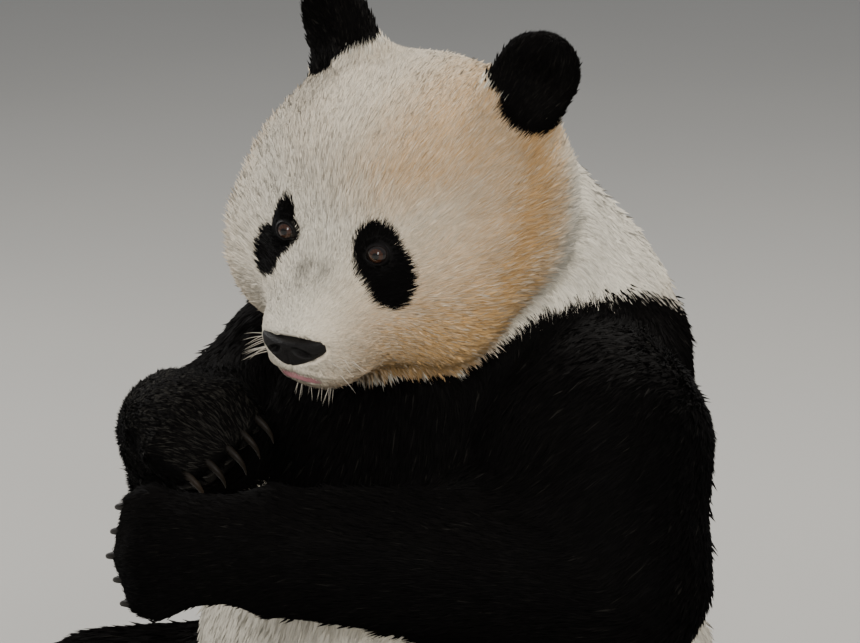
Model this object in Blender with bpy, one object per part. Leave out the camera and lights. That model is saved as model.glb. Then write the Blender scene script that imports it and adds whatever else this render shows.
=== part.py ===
"""A life-size giant panda that sits upright, with its forepaws together in front of its chest.

Metres, +Z up. The panda faces -Y and its left side is +X. The solids reach to the tips of the coat.
Its flesh is drawn as balls and tapering limbs that flow into each other. Remesh joins them into one skin,
settle() draws that skin onto the blended surface, and Decimate leaves as few faces as the form needs.
Thin cuts then part the flesh into its named pieces.
"""

from math import atan, cos, pi, radians, sin

import bmesh
import bpy
import numpy as np
from mathutils import Matrix, Vector

# ---------------------------------------------------------------- driving dimensions

GAP = 0.0003  # clearance that touching pieces keep
BODY_CELL = 0.011  # cell of the first skin over the body
LIMB_CELL = 0.008  # the same over a limb
HEAD_CELL = 0.0065  # the same over the head
SLOPE_STEP = 0.0005  # distance over which a surface's slope is read
SETTLE_STEPS = 6
HEAD_TRIANGLES = 1700
TRUNK_TRIANGLES = 560
ARM_TRIANGLES = 730
LEG_TRIANGLES = 560
TAIL_TRIANGLES = 80
SUNK_DEPTH = 0.012  # flesh this far inside its seat is left with few faces
SUNK_SHARE = 0.85  # the share of those faces that goes
SAW_TRIANGLES = 90  # of the round saw that parts an ear or the nose from the head
SPREAD = 0.030  # how far each thigh's root keeps from the middle
LUMP_SEGMENTS = 3  # subdivisions of the balls that the first skin is joined from

# The head turns to its left, nods and leans. Its own frame has x to its left, y back and z up.
HEAD_CENTRE = Vector((0.0254, -0.0500, 0.7544))
HEAD_YAW = 18.2
HEAD_NOD = 13.0
HEAD_LEAN = 7.4
HEAD_TURN = (
    Matrix.Rotation(radians(HEAD_YAW), 4, "Z")
    @ Matrix.Rotation(radians(HEAD_NOD), 4, "X")
    @ Matrix.Rotation(radians(HEAD_LEAN), 4, "Y")
)
HEAD_FRAME = Matrix.Translation(HEAD_CENTRE) @ HEAD_TURN

EYE_RADIUS = 0.0125
EYE_AT = Vector((0.050, -0.1290, 0.025))
NOSE_AT = Vector((0, -0.2010, -0.0570))
NOSE_SIZE = Vector((0.034, 0.018, 0.0175))
NOSE_TURN = Matrix.Rotation(radians(-8), 4, "Y")  # the nose is skewed on the face
EAR_AT = Vector((0.112, 0.054, 0.143))
EAR_SIZE = Vector((0.043, 0.027, 0.048))
EAR_YAW = 22
EAR_LEAN = 28
EAR_ROOT = Vector((0.078, 0.048, 0.075))
EAR_ROOT_RADII = (0.050, 0.030)  # at the skull and at the middle of the ear
EAR_PIT_FROM_EAR = Vector((0.010, -0.040, -0.004))
EAR_PIT_SIZE = (0.030, 0.026, 0.032)
EAR_SAW_FROM_EAR = Vector((0.006, 0, 0.010))
EAR_SAW_SIZE = (0.068, 0.052, 0.060)
EYE_PIT_FROM_EYE = Vector((0, -0.015, 0))
EYE_PIT_SIZE = (0.016, 0.009, 0.012)
NOSE_SAW_FROM_NOSE = Vector((0, -0.006, 0))
NOSE_SAW_MARGIN = Vector((0.003, 0.004, 0.003))

# The round masses of the head in its own frame: the centre and radii of a ball, or both ends of a
# tapering mass with the radius at each. Those off the middle have a twin on the right.
CRANIUM = ((0, 0.020, 0.032), (0.158, 0.142, 0.109))
BROW = ((0, -0.067, 0.028), (0.092, 0.073, 0.067))
MUZZLE = ((0, -0.060, -0.036), (0, -0.152, -0.058), 0.080, 0.050)
LIPS = ((0, -0.166, -0.064), (0.048, 0.042, 0.037))
JAW = ((0, -0.042, -0.098), (0, -0.144, -0.092), 0.054, 0.026)
JOWL = ((0.092, -0.012, -0.015), (0.076, 0.082, 0.054))
CHEEK = ((0.086, -0.088, -0.044), (0.062, 0.050, 0.069))

# The same for the body, in the world.
RUMP = ((0, 0.082, 0.226), (0.262, 0.216, 0.232))
BELLY = ((0, -0.034, 0.285), (0.232, 0.200, 0.225))
BACK = ((0, 0.068, 0.400), (0.220, 0.175, 0.200))
CHEST = ((0, 0.025, 0.510), (0.205, 0.170, 0.150))
WITHERS = ((0, 0.086, 0.576), (0.236, 0.164, 0.124))
NECK = ((0.010, 0.088, 0.630), (0.022, 0.010, 0.745), 0.150, 0.128)
TAIL = ((0, 0.252, 0.135), (0, 0.312, 0.046), 0.060, 0.043)

# How far two masses take to flow into each other.
HEAD_FLOW = 0.052
NOSE_FLOW = 0.012
EAR_ROOT_FLOW = 0.030
EAR_FLOW = 0.022
PIT_FLOW = 0.012
TORSO_FLOW = 0.060
BAND_FLOW = 0.070
NECK_FLOW = 0.090
ELBOW_FLOW = 0.050
KNEE_FLOW = 0.060
WRIST_FLOW = 0.030
TOE_FLOW = 0.012

# Joints of the limbs: 1 is the left side, -1 the right. The radii are those at a part's two ends.
BLADE = Vector((0.098, 0.085, 0.602))
BLADE_RADII = (0.092, 0.110)
UPPER_ARM_RADII = (0.114, 0.092)
FOREARM_RADII = (0.090, 0.068)
THIGH_RADII = (0.154, 0.110)
SHANK_RADII = (0.106, 0.073)
SHOULDER = {1: Vector((0.203, 0.034, 0.530)), -1: Vector((-0.172, 0.012, 0.520))}
ELBOW = {1: Vector((0.257, 0.012, 0.417)), -1: Vector((-0.258, -0.070, 0.430))}
WRIST = {1: Vector((0.105, -0.270, 0.463)), -1: Vector((-0.140, -0.205, 0.512))}
PALM = {1: Vector((0.062, -0.345, 0.470)), -1: Vector((-0.089, -0.249, 0.545))}
FINGERS = {1: Vector((-0.74, -0.62, -0.12)), -1: Vector((0.80, -0.05, 0.02))}  # the way the fingers reach
PALM_DOWN = {1: Vector((-0.60, 0.62, -0.30)), -1: Vector((-0.40, 0.45, -0.80))}  # the way the palm faces
HIP = Vector((0.128, 0.060, 0.151))
KNEE = Vector((0.270, -0.200, 0.150))
ANKLE = Vector((0.205, -0.405, 0.070))
SOLE = Vector((0.212, -0.430, 0.110))
TOES_UP = Vector((0.16, -0.12, 0.95))
SOLE_FACES = Vector((-0.12, -0.99, -0.10))

# The black band round the shoulders lies between two cuts, each with a point and the way up across it.
BAND_LOW = Vector((0, 0.060, 0.440))
BAND_LOW_WAY = Vector((0, 0.20, 1))
BAND_HIGH = Vector((0, 0.060, 0.640))
BAND_HIGH_WAY = Vector((0, -0.22, 1))

PALM_SIZE = Vector((0.058, 0.042, 0.070))
SOLE_SIZE = Vector((0.056, 0.038, 0.098))
FINGER_TIPS = [Vector((x, -0.018, 0.078 - abs(x) * 0.25)) for x in (-0.046, -0.023, 0, 0.023, 0.046)]
TOE_TIPS = [Vector((x, -0.012, 0.108 - abs(x) * 0.30)) for x in (-0.045, -0.0225, 0, 0.0225, 0.045)]
FOOT_DEPTH = 0.026  # from the middle of the foot back to the cut across its ankle
FINGER_KNUCKLE = (0.004, 0.030)  # out of the paw's back, and along the paw
TOE_KNUCKLE = (0.0, 0.055)
FINGER_RADII = (0.023, 0.020)
TOE_RADII = (0.023, 0.019)
TIP_BACK = Vector((0, 0, 0.012))  # a claw's root stands this far ahead of its toe's last joint
FINGER_CURL = 1.3
TOE_CURL = 0.8
ELBOW_CUT = 0.045  # from the elbow down the forearm to the cut
ELBOW_CUT_LEAN = 1.4  # how much more the cut squares to the forearm than to the upper arm

SIDES = ((-1, "right"), (1, "left"))

CLAW_LENGTH = 0.030
CLAW_RADIUS = 0.0045
CLAW_SIDES = 5
CLAW_RINGS = 2
CLAW_TAPER = 0.75

# Base colour and roughness of each kind of surface.
FINISHES = {
    "white_coat": ((0.78, 0.72, 0.62), 0.85),
    "black_coat": ((0.018, 0.015, 0.014), 0.80),
    "nose_leather": ((0.020, 0.018, 0.018), 0.45),
    "eye": ((0.030, 0.014, 0.008), 0.08),
    "claw_horn": ((0.16, 0.12, 0.085), 0.40),
}


# ---------------------------------------------------------------- forms
# A form gives each point's distance outside a shape, negative inside it. It also lists lumps, the
# matrices of the unit balls that roughly fill the shape, which its first skin is joined from.


class Form:
    def __init__(self, distance, lumps):
        self.distance = distance
        self.lumps = lumps


def place(centre, radii, turn):
    return Matrix.Translation(centre) @ turn.to_4x4() @ Matrix.Diagonal((*radii, 1))


def ball(centre, radii, turn=Matrix.Identity(4)):
    """An ellipsoid, turned in place."""
    middle = np.array(centre)
    reach = np.array(radii)
    axes = np.array(turn.to_3x3())

    def distance(points):
        local = (points - middle) @ axes
        near = np.linalg.norm(local / reach, axis=1)
        steepness = np.linalg.norm(local / reach**2, axis=1)
        return near * (near - 1) / np.maximum(steepness, 1e-9)

    return Form(distance, [place(Vector(centre), radii, turn)])


def limb(start, end, start_radius, end_radius):
    """A tapering limb with round ends."""
    first = np.array(start)
    along = np.array(end) - first
    balls = 2 + int(3 * np.linalg.norm(along) / min(start_radius, end_radius))
    lumps = []
    for i in range(balls):
        share = i / (balls - 1)
        radius = start_radius + (end_radius - start_radius) * share
        lumps.append(place(Vector(first + share * along), (radius, radius, radius), Matrix.Identity(4)))

    def distance(points):
        share = np.clip((points - first) @ along / (along @ along), 0, 1)
        radius = start_radius + (end_radius - start_radius) * share
        return np.linalg.norm(points - first - share[:, None] * along, axis=1) - radius

    return Form(distance, lumps)


def soft_least(first, second, reach):
    """The smaller of two distances, rounded off where they differ by less than reach."""
    mix = np.maximum(reach - np.abs(first - second), 0) / reach
    return np.minimum(first, second) - mix**2 * reach / 4


def flow(reach, *forms):
    """Forms that flow into each other over about this reach."""

    def distance(points):
        found = forms[0].distance(points)
        for form in forms[1:]:
            found = soft_least(found, form.distance(points), reach)
        return found

    return Form(distance, [lump for form in forms for lump in form.lumps])


def hollow(form, reach, *pits):
    """A form with pits pressed into it, their rims rounded over this reach."""

    def distance(points):
        found = form.distance(points)
        for pit in pits:
            found = -soft_least(-found, pit.distance(points), reach)
        return found

    return Form(distance, form.lumps)


def basis(z_way, y_way):
    """A rotation whose Z points along z_way and whose Y leans as near to y_way as it can."""
    z_axis = z_way.normalized()
    x_axis = y_way.cross(z_axis).normalized()
    return Matrix((x_axis, z_axis.cross(x_axis), z_axis)).transposed().to_4x4()


# ---------------------------------------------------------------- meshes


def material(finish):
    if finish in bpy.data.materials:
        return bpy.data.materials[finish]
    colour, roughness = FINISHES[finish]
    made = bpy.data.materials.new(finish)
    made.use_nodes = True
    surface = made.node_tree.nodes["Principled BSDF"]
    surface.inputs["Base Color"].default_value = (*colour, 1)
    surface.inputs["Roughness"].default_value = roughness
    surface.inputs["Metallic"].default_value = 0
    return made


def dress(obj, finish):
    obj.data.materials.clear()
    obj.data.materials.append(material(finish))


def add_object(name, mesh, finish=None):
    obj = bpy.data.objects.new(name, mesh)
    bpy.context.scene.collection.objects.link(obj)
    if finish:
        dress(obj, finish)
    return obj


def apply_modifiers(obj):
    """Makes the object's mesh what its modifiers show, and drops them."""
    graph = bpy.context.evaluated_depsgraph_get()
    shown = bpy.data.meshes.new_from_object(obj.evaluated_get(graph))
    obj.modifiers.clear()
    obj.data = shown


def settle(obj, form):
    """Draws every vertex straight onto the form's surface."""
    points = np.empty(len(obj.data.vertices) * 3, np.float32)
    obj.data.vertices.foreach_get("co", points)
    points = points.reshape(-1, 3).astype(float)
    for _ in range(SETTLE_STEPS):
        grade = np.empty_like(points)
        for axis in range(3):
            step = np.zeros(3)
            step[axis] = SLOPE_STEP
            rise = form.distance(points + step) - form.distance(points - step)
            grade[:, axis] = rise / (2 * SLOPE_STEP)
        steepness = np.maximum((grade**2).sum(1), 0.1)
        points -= (form.distance(points) / steepness)[:, None] * grade
    obj.data.vertices.foreach_set("co", points.astype(np.float32).ravel())
    obj.data.update()


def skin_over(name, form, cell, triangles, finish=None):
    """A closed skin on a form, with about this many triangles."""
    bm = bmesh.new()
    for lump in form.lumps:
        bmesh.ops.create_icosphere(bm, subdivisions=LUMP_SEGMENTS, radius=1, matrix=lump)
    mesh = bpy.data.meshes.new(name)
    bm.to_mesh(mesh)
    bm.free()
    obj = add_object(name, mesh, finish)
    joined = obj.modifiers.new("joined", "REMESH")
    joined.mode = "VOXEL"
    joined.voxel_size = cell
    apply_modifiers(obj)
    settle(obj, form)
    relax = obj.modifiers.new("relax", "SMOOTH")
    relax.factor = 0.5
    relax.iterations = 3
    apply_modifiers(obj)
    settle(obj, form)
    three_sided = obj.modifiers.new("three_sided", "TRIANGULATE")
    three_sided.quad_method = "SHORTEST_DIAGONAL"
    apply_modifiers(obj)
    fewer = obj.modifiers.new("fewer", "DECIMATE")
    fewer.ratio = min(1.0, triangles / len(obj.data.polygons))
    apply_modifiers(obj)
    if finish:
        dress(obj, finish)
    return obj


def cut(obj, cutter, operation):
    sawn = obj.modifiers.new(operation.lower(), "BOOLEAN")
    sawn.operation = operation
    sawn.solver = "EXACT"
    sawn.object = cutter
    apply_modifiers(obj)


def copy_of(obj, name):
    return add_object(name, obj.data.copy())


def swell(obj, distance):
    """Moves the surface out by a distance."""
    wider = obj.modifiers.new("wider", "DISPLACE")
    wider.mid_level = 0
    wider.strength = distance
    apply_modifiers(obj)


def remove(obj):
    bpy.data.objects.remove(obj)


def part_off(whole, name, form, finish):
    """Saws the piece inside a round form off the whole, with a thin cut all round it."""
    saw = skin_over("saw", form, HEAD_CELL, SAW_TRIANGLES)
    piece = copy_of(whole, name)
    cut(piece, saw, "INTERSECT")
    swell(saw, GAP)
    cut(whole, saw, "DIFFERENCE")
    remove(saw)
    dress(piece, finish)
    return piece


def keep_above(obj, point, way):
    """Cuts the mesh off flat at a plane and keeps what lies on the side that way points to."""
    bm = bmesh.new()
    bm.from_mesh(obj.data)
    everything = bm.verts[:] + bm.edges[:] + bm.faces[:]
    bmesh.ops.bisect_plane(bm, geom=everything, plane_co=point, plane_no=way, clear_inner=True)
    rim = [edge for edge in bm.edges if edge.is_boundary]
    flats = bmesh.ops.holes_fill(bm, edges=rim, sides=0)["faces"]
    bmesh.ops.triangulate(bm, faces=flats)
    bmesh.ops.recalc_face_normals(bm, faces=bm.faces[:])
    bm.to_mesh(obj.data)
    bm.free()


def saw_through(whole, name, point, way, finish):
    """Saws the whole across at a plane. What lies on the side that way points to becomes a new piece."""
    way = way.normalized()
    piece = copy_of(whole, name)
    keep_above(piece, point + way * GAP / 2, way)
    keep_above(whole, point - way * GAP / 2, -way)
    drop_crumbs(whole)
    drop_crumbs(piece)
    dress(piece, finish)
    return piece


def seat(host, guest):
    """Makes room in the host for a guest that sits in it."""
    cutter = copy_of(guest, "cutter")
    swell(cutter, GAP)
    cut(host, cutter, "DIFFERENCE")
    remove(cutter)
    drop_crumbs(host)


def drop_crumbs(obj):
    """Keeps only the largest of the mesh's loose shells."""
    bm = bmesh.new()
    bm.from_mesh(obj.data)
    waiting = set(bm.verts)
    shells = []
    while waiting:
        shell = [waiting.pop()]
        for vert in shell:
            for edge in vert.link_edges:
                other = edge.other_vert(vert)
                if other in waiting:
                    waiting.remove(other)
                    shell.append(other)
        shells.append(shell)
    shells.sort(key=len)
    for shell in shells[:-1]:
        bmesh.ops.delete(bm, geom=shell, context="VERTS")
    bm.to_mesh(obj.data)
    bm.free()


def thin_inside(guest, host_form):
    """Takes most of the faces away where the guest is sunk deep in its host and never shows."""
    points = np.array([vert.co for vert in guest.data.vertices])
    sunk = host_form.distance(points) < -SUNK_DEPTH
    group = guest.vertex_groups.new(name="sunk")
    group.add([int(i) for i in np.flatnonzero(sunk)], 1.0, "REPLACE")
    sunk_faces = sum(all(sunk[i] for i in face.vertices) for face in guest.data.polygons)
    fewer = guest.modifiers.new("fewer", "DECIMATE")
    fewer.vertex_group = "sunk"
    fewer.ratio = 1 - SUNK_SHARE * sunk_faces / len(guest.data.polygons)
    apply_modifiers(guest)
    guest.vertex_groups.clear()


# ---------------------------------------------------------------- the head


def in_head(point, side=1):
    """A point of the head's own frame, or its twin on the right for side -1, in the world."""
    return HEAD_FRAME @ Vector((point[0] * side, point[1], point[2]))


def head_ball(centre, radii, side=1, turn=Matrix.Identity(4)):
    return ball(in_head(centre, side), radii, HEAD_TURN @ turn)


def head_limb(start, end, start_radius, end_radius, side=1):
    return limb(in_head(start, side), in_head(end, side), start_radius, end_radius)


def ear_turn(side):
    turned = Matrix.Rotation(radians(EAR_YAW) * side, 4, "Z")
    return turned @ Matrix.Rotation(radians(EAR_LEAN) * side, 4, "Y")


def ear_form(side):
    shell = head_ball(EAR_AT, EAR_SIZE, side, ear_turn(side))
    root = head_limb(EAR_ROOT, EAR_AT, *EAR_ROOT_RADII, side)
    return flow(EAR_ROOT_FLOW, shell, root)


def ear_hollow(side):
    return head_ball(EAR_AT + EAR_PIT_FROM_EAR, EAR_PIT_SIZE, side, ear_turn(side))


def head_form():
    masses = [head_ball(*CRANIUM), head_ball(*BROW), head_limb(*MUZZLE), head_ball(*LIPS), head_limb(*JAW)]
    for side in (1, -1):
        masses.append(head_ball(*JOWL, side))
        masses.append(head_ball(*CHEEK, side))
    skull = flow(HEAD_FLOW, *masses)
    nose = head_ball(NOSE_AT, NOSE_SIZE, turn=NOSE_TURN)
    faced = flow(NOSE_FLOW, skull, nose)
    eared = flow(EAR_FLOW, faced, ear_form(1), ear_form(-1))
    pits = [ear_hollow(1), ear_hollow(-1)]
    for side in (1, -1):
        pits.append(head_ball(EYE_AT + EYE_PIT_FROM_EYE, EYE_PIT_SIZE, side))
    return hollow(eared, PIT_FLOW, *pits)


def build_head():
    head = skin_over("head", head_form(), HEAD_CELL, HEAD_TRIANGLES, "white_coat")
    for side, name in ((1, "left"), (-1, "right")):
        saw = head_ball(EAR_AT + EAR_SAW_FROM_EAR, EAR_SAW_SIZE, side, ear_turn(side))
        part_off(head, "ear_" + name, saw, "black_coat")
    saw_size = NOSE_SIZE + NOSE_SAW_MARGIN
    saw = head_ball(NOSE_AT + NOSE_SAW_FROM_NOSE, saw_size, turn=NOSE_TURN)
    part_off(head, "nose", saw, "nose_leather")
    for side, name in ((1, "left"), (-1, "right")):
        bm = bmesh.new()
        at = Matrix.Translation(in_head(EYE_AT, side))
        bmesh.ops.create_icosphere(bm, subdivisions=2, radius=EYE_RADIUS, matrix=at)
        mesh = bpy.data.meshes.new("eye_" + name)
        bm.to_mesh(mesh)
        bm.free()
        mesh.shade_smooth()
        seat(head, add_object("eye_" + name, mesh, "eye"))
    return head


# ---------------------------------------------------------------- the body


def mirrored(point, side):
    return Vector((point[0] * side, point[1], point[2]))


def forepaw_frame(side):
    """X across the palm, Y out of the back of the paw, Z along the fingers."""
    return Matrix.Translation(PALM[side]) @ basis(FINGERS[side], -PALM_DOWN[side])


def forepaw_form(side):
    frame = forepaw_frame(side)
    palm = ball(PALM[side], PALM_SIZE, frame.to_3x3())
    fingers = []
    for tip in FINGER_TIPS:
        knuckle = Vector((tip.x, *FINGER_KNUCKLE))
        fingers.append(limb(frame @ knuckle, frame @ (tip - TIP_BACK), *FINGER_RADII))
    return flow(TOE_FLOW, palm, *fingers)


def foot_frame(side):
    """X across the foot, Y out of its back, Z from the heel to the toes."""
    turn = basis(mirrored(TOES_UP, side), -mirrored(SOLE_FACES, side))
    return Matrix.Translation(mirrored(SOLE, side)) @ turn


def foot_form(side):
    frame = foot_frame(side)
    sole = ball(mirrored(SOLE, side), SOLE_SIZE, frame.to_3x3())
    toes = []
    for tip in TOE_TIPS:
        knuckle = Vector((tip.x, *TOE_KNUCKLE))
        toes.append(limb(frame @ knuckle, frame @ (tip - TIP_BACK), *TOE_RADII))
    return flow(TOE_FLOW, sole, *toes)


def upper_arm_form(side):
    blade = limb(mirrored(BLADE, side), SHOULDER[side], *BLADE_RADII)
    upper = limb(SHOULDER[side], ELBOW[side], *UPPER_ARM_RADII)
    return flow(ELBOW_FLOW, blade, upper)


def forearm_form(side):
    return limb(ELBOW[side], WRIST[side], *FOREARM_RADII)


def thigh_form(side):
    return limb(mirrored(HIP, side), mirrored(KNEE, side), *THIGH_RADII)


def shank_form(side):
    return limb(mirrored(KNEE, side), mirrored(ANKLE, side), *SHANK_RADII)


def tail_form():
    return limb(*TAIL)


def neck_form():
    return limb(*NECK)


def shoulders_form():
    return flow(TORSO_FLOW, ball(*CHEST), ball(*WITHERS))


def torso_form():
    return flow(TORSO_FLOW, ball(*RUMP), ball(*BELLY), ball(*BACK))


def claws(paw, name, frame, roots, curl):
    """Five claws, each a bent horn cone whose root sits in a toe's tip."""
    for i, root in enumerate(roots):
        bm = bmesh.new()
        rings = []
        for ring in range(CLAW_RINGS):
            share = ring / CLAW_RINGS
            bend = curl * share
            middle = root + Vector((0, -sin(bend) * share, cos(bend) * share)) * CLAW_LENGTH
            radius = CLAW_RADIUS * (1 - CLAW_TAPER * share)
            heading = bend + atan(bend)
            corners = []
            for side in range(CLAW_SIDES):
                angle = 2 * pi * side / CLAW_SIDES
                across = Vector((cos(angle), sin(angle) * cos(heading), sin(angle) * sin(heading)))
                corner = middle + across * radius
                corners.append(bm.verts.new(frame @ corner))
            rings.append(corners)
        point = root + Vector((0, -sin(curl), cos(curl))) * CLAW_LENGTH
        tip = bm.verts.new(frame @ point)
        bm.faces.new(rings[0])
        for low, high in zip(rings, rings[1:]):
            for side in range(CLAW_SIDES):
                after = (side + 1) % CLAW_SIDES
                bm.faces.new((low[side], low[after], high[after], high[side]))
        for side in range(CLAW_SIDES):
            bm.faces.new((rings[-1][side], rings[-1][(side + 1) % CLAW_SIDES], tip))
        bmesh.ops.recalc_face_normals(bm, faces=bm.faces[:])
        bmesh.ops.triangulate(bm, faces=bm.faces[:])
        mesh = bpy.data.meshes.new("claw")
        bm.to_mesh(mesh)
        bm.free()
        seat(paw, add_object(f"claw_{name}_{i + 1}", mesh, "claw_horn"))


def build_arm(side, name):
    """The arm is made in one piece, sawn across at the elbow and the wrist."""
    form = flow(ELBOW_FLOW, upper_arm_form(side), forearm_form(side))
    form = flow(WRIST_FLOW, form, forepaw_form(side))
    return skin_over("upper_arm_" + name, form, LIMB_CELL, ARM_TRIANGLES, "black_coat")


def saw_arm(upper, side, name):
    forearm_way = (WRIST[side] - ELBOW[side]).normalized()
    upper_way = (ELBOW[side] - SHOULDER[side]).normalized()
    elbow = ELBOW[side] + forearm_way * ELBOW_CUT
    elbow_way = forearm_way * ELBOW_CUT_LEAN + upper_way
    forearm = saw_through(upper, "forearm_" + name, elbow, elbow_way, "black_coat")
    paw = saw_through(forearm, "forepaw_" + name, WRIST[side], forearm_way, "black_coat")
    claws(paw, "fore_" + name, forepaw_frame(side), FINGER_TIPS, FINGER_CURL)


def build_leg(side, name):
    """The leg is made in one piece, sawn across at the knee and the ankle, and flat where it rests."""
    form = flow(KNEE_FLOW, thigh_form(side), shank_form(side))
    form = flow(WRIST_FLOW, form, foot_form(side))
    thigh = skin_over("thigh_" + name, form, LIMB_CELL, LEG_TRIANGLES, "black_coat")
    keep_above(thigh, Vector((0, 0, 0)), Vector((0, 0, 1)))
    keep_above(thigh, Vector((side * SPREAD, 0, 0)), Vector((side, 0, 0)))
    return thigh


def saw_leg(thigh, side, name):
    knee = mirrored(KNEE, side)
    ankle = mirrored(ANKLE, side)
    thigh_way = (knee - mirrored(HIP, side)).normalized()
    shank_way = (ankle - knee).normalized()
    shank = saw_through(thigh, "shank_" + name, knee, thigh_way + shank_way, "black_coat")
    sole_way = mirrored(SOLE_FACES, side).normalized()
    instep = mirrored(SOLE, side) - sole_way * FOOT_DEPTH
    foot = saw_through(shank, "foot_" + name, instep, sole_way, "black_coat")
    claws(foot, "hind_" + name, foot_frame(side), TOE_TIPS, TOE_CURL)


def build_body(head):
    """The limbs sit in the trunk, the arms on the thighs, and the right forepaw on the left one."""
    form = flow(NECK_FLOW, flow(BAND_FLOW, torso_form(), shoulders_form()), neck_form())
    trunk = skin_over("trunk", form, BODY_CELL, TRUNK_TRIANGLES, "white_coat")
    keep_above(trunk, Vector((0, 0, 0)), Vector((0, 0, 1)))
    tail = skin_over("tail", tail_form(), LIMB_CELL, TAIL_TRIANGLES, "white_coat")
    keep_above(tail, Vector((0, 0, 0)), Vector((0, 0, 1)))
    arms = {side: build_arm(side, name) for side, name in SIDES}
    legs = {side: build_leg(side, name) for side, name in SIDES}
    for guest in (head, tail, *arms.values(), *legs.values()):
        thin_inside(guest, form)
    seat(arms[1], arms[-1])
    for leg in legs.values():
        for arm in arms.values():
            seat(leg, arm)
    shoulders = saw_through(trunk, "shoulders", BAND_LOW, BAND_LOW_WAY, "black_coat")
    neck = saw_through(shoulders, "neck", BAND_HIGH, BAND_HIGH_WAY, "white_coat")
    for guest in (head, *arms.values()):
        for host in (neck, shoulders, trunk):
            seat(host, guest)
    for guest in (tail, *legs.values()):
        seat(trunk, guest)
    for side, name in SIDES:
        seat(arms[side], head)
        saw_arm(arms[side], side, name)
        saw_leg(legs[side], side, name)


def stand_on_origin():
    """Moves the whole, so that the origin is on the floor under the middle of its box."""
    corners = np.array([vert.co for obj in bpy.data.objects for vert in obj.data.vertices])
    middle = (corners.min(0) + corners.max(0)) / 2
    to_origin = Matrix.Translation((-middle[0], -middle[1], 0))
    for obj in bpy.data.objects:
        obj.data.transform(to_origin)


for old in list(bpy.data.objects):
    bpy.data.objects.remove(old)
build_body(build_head())
stand_on_origin()
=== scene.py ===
"""The looks of the giant panda: one skin with its lids, lips and pads, wet eyes, a leathery nose, horn claws,
and a coat of short tufts that lie the way the hair grows.

Metres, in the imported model's own frame: the panda faces -Y, its left side is +X and the floor is z = 0.
"""

from math import cos, pi, radians, sin, sqrt

import bmesh
import bpy
import numpy as np
from mathutils import Matrix, Vector
from mathutils.bvhtree import BVHTree
from mathutils.kdtree import KDTree


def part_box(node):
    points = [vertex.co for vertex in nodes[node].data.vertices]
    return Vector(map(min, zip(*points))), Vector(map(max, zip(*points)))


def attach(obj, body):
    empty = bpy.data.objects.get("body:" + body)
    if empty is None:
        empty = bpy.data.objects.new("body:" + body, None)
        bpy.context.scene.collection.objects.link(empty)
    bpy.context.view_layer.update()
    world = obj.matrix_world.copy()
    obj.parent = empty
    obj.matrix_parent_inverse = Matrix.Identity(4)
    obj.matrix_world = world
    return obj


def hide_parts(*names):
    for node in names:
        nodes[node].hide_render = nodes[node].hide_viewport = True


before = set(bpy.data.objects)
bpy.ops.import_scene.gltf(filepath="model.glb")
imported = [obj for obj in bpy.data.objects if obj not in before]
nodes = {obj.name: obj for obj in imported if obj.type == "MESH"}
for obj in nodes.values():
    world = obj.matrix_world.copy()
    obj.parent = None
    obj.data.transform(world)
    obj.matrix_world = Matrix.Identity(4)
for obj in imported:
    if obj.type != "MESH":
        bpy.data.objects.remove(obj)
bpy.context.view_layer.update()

bpy.ops.object.select_all(action="DESELECT")

# ---------------------------------------------------------------- the head's own frame
# The head turns to its left, nods and leans. In its own frame x is its left, y is back and z is up,
# and the origin is in the middle of the skull, found from the two eyes.

HEAD_YAW = 18.2
HEAD_NOD = 13.0
HEAD_LEAN = 7.4
BETWEEN_EYES = Vector((0, -0.1290, 0.0250))


def middle(node):
    """The middle of a node's box."""
    low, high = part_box(node)
    return (Vector(low) + Vector(high)) / 2


head_turn = (
    Matrix.Rotation(radians(HEAD_YAW), 3, "Z")
    @ Matrix.Rotation(radians(HEAD_NOD), 3, "X")
    @ Matrix.Rotation(radians(HEAD_LEAN), 3, "Y")
)
head_centre = (middle("eye_left") + middle("eye_right")) / 2 - head_turn @ BETWEEN_EYES


def to_head(points):
    return (points - np.array(head_centre)) @ np.array(head_turn)


def from_head(points):
    return points @ np.array(head_turn).T + np.array(head_centre)


# ---------------------------------------------------------------- camera, lamps and floor
# The camera stands at the panda's left front, a little above its head, and looks at the upper body.
# Large soft lamps light it as in a studio, from the front, the left and behind, and a small one by the
# camera puts a spark in the eyes.

CAMERA_AZIMUTH = radians(50)
CAMERA_RISE = radians(15)
CAMERA_DISTANCE = 4.2
CAMERA_LENS = 180.5
CAMERA_SENSOR = 36
CAMERA_SEES_TO = 200
AIM_RIGHT = 0.0213  # from the middle of the skull to the point in the middle of the picture
AIM_DOWN = 0.1161

view_right = Vector((cos(CAMERA_AZIMUTH), sin(CAMERA_AZIMUTH), 0))
level = cos(CAMERA_RISE)
view_back = Vector((sin(CAMERA_AZIMUTH) * level, -cos(CAMERA_AZIMUTH) * level, sin(CAMERA_RISE)))
view_up = view_back.cross(view_right)
aim = head_centre + AIM_RIGHT * view_right - AIM_DOWN * view_up
bpy.ops.object.camera_add(location=aim + CAMERA_DISTANCE * view_back)
camera = bpy.context.object
camera.rotation_euler = view_back.to_track_quat("Z", "Y").to_euler()
camera.data.lens = CAMERA_LENS
camera.data.sensor_width = CAMERA_SENSOR
camera.data.clip_end = CAMERA_SEES_TO
bpy.context.scene.camera = camera

LAMPS_AIM = Vector((0, 0, 0.55))
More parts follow.
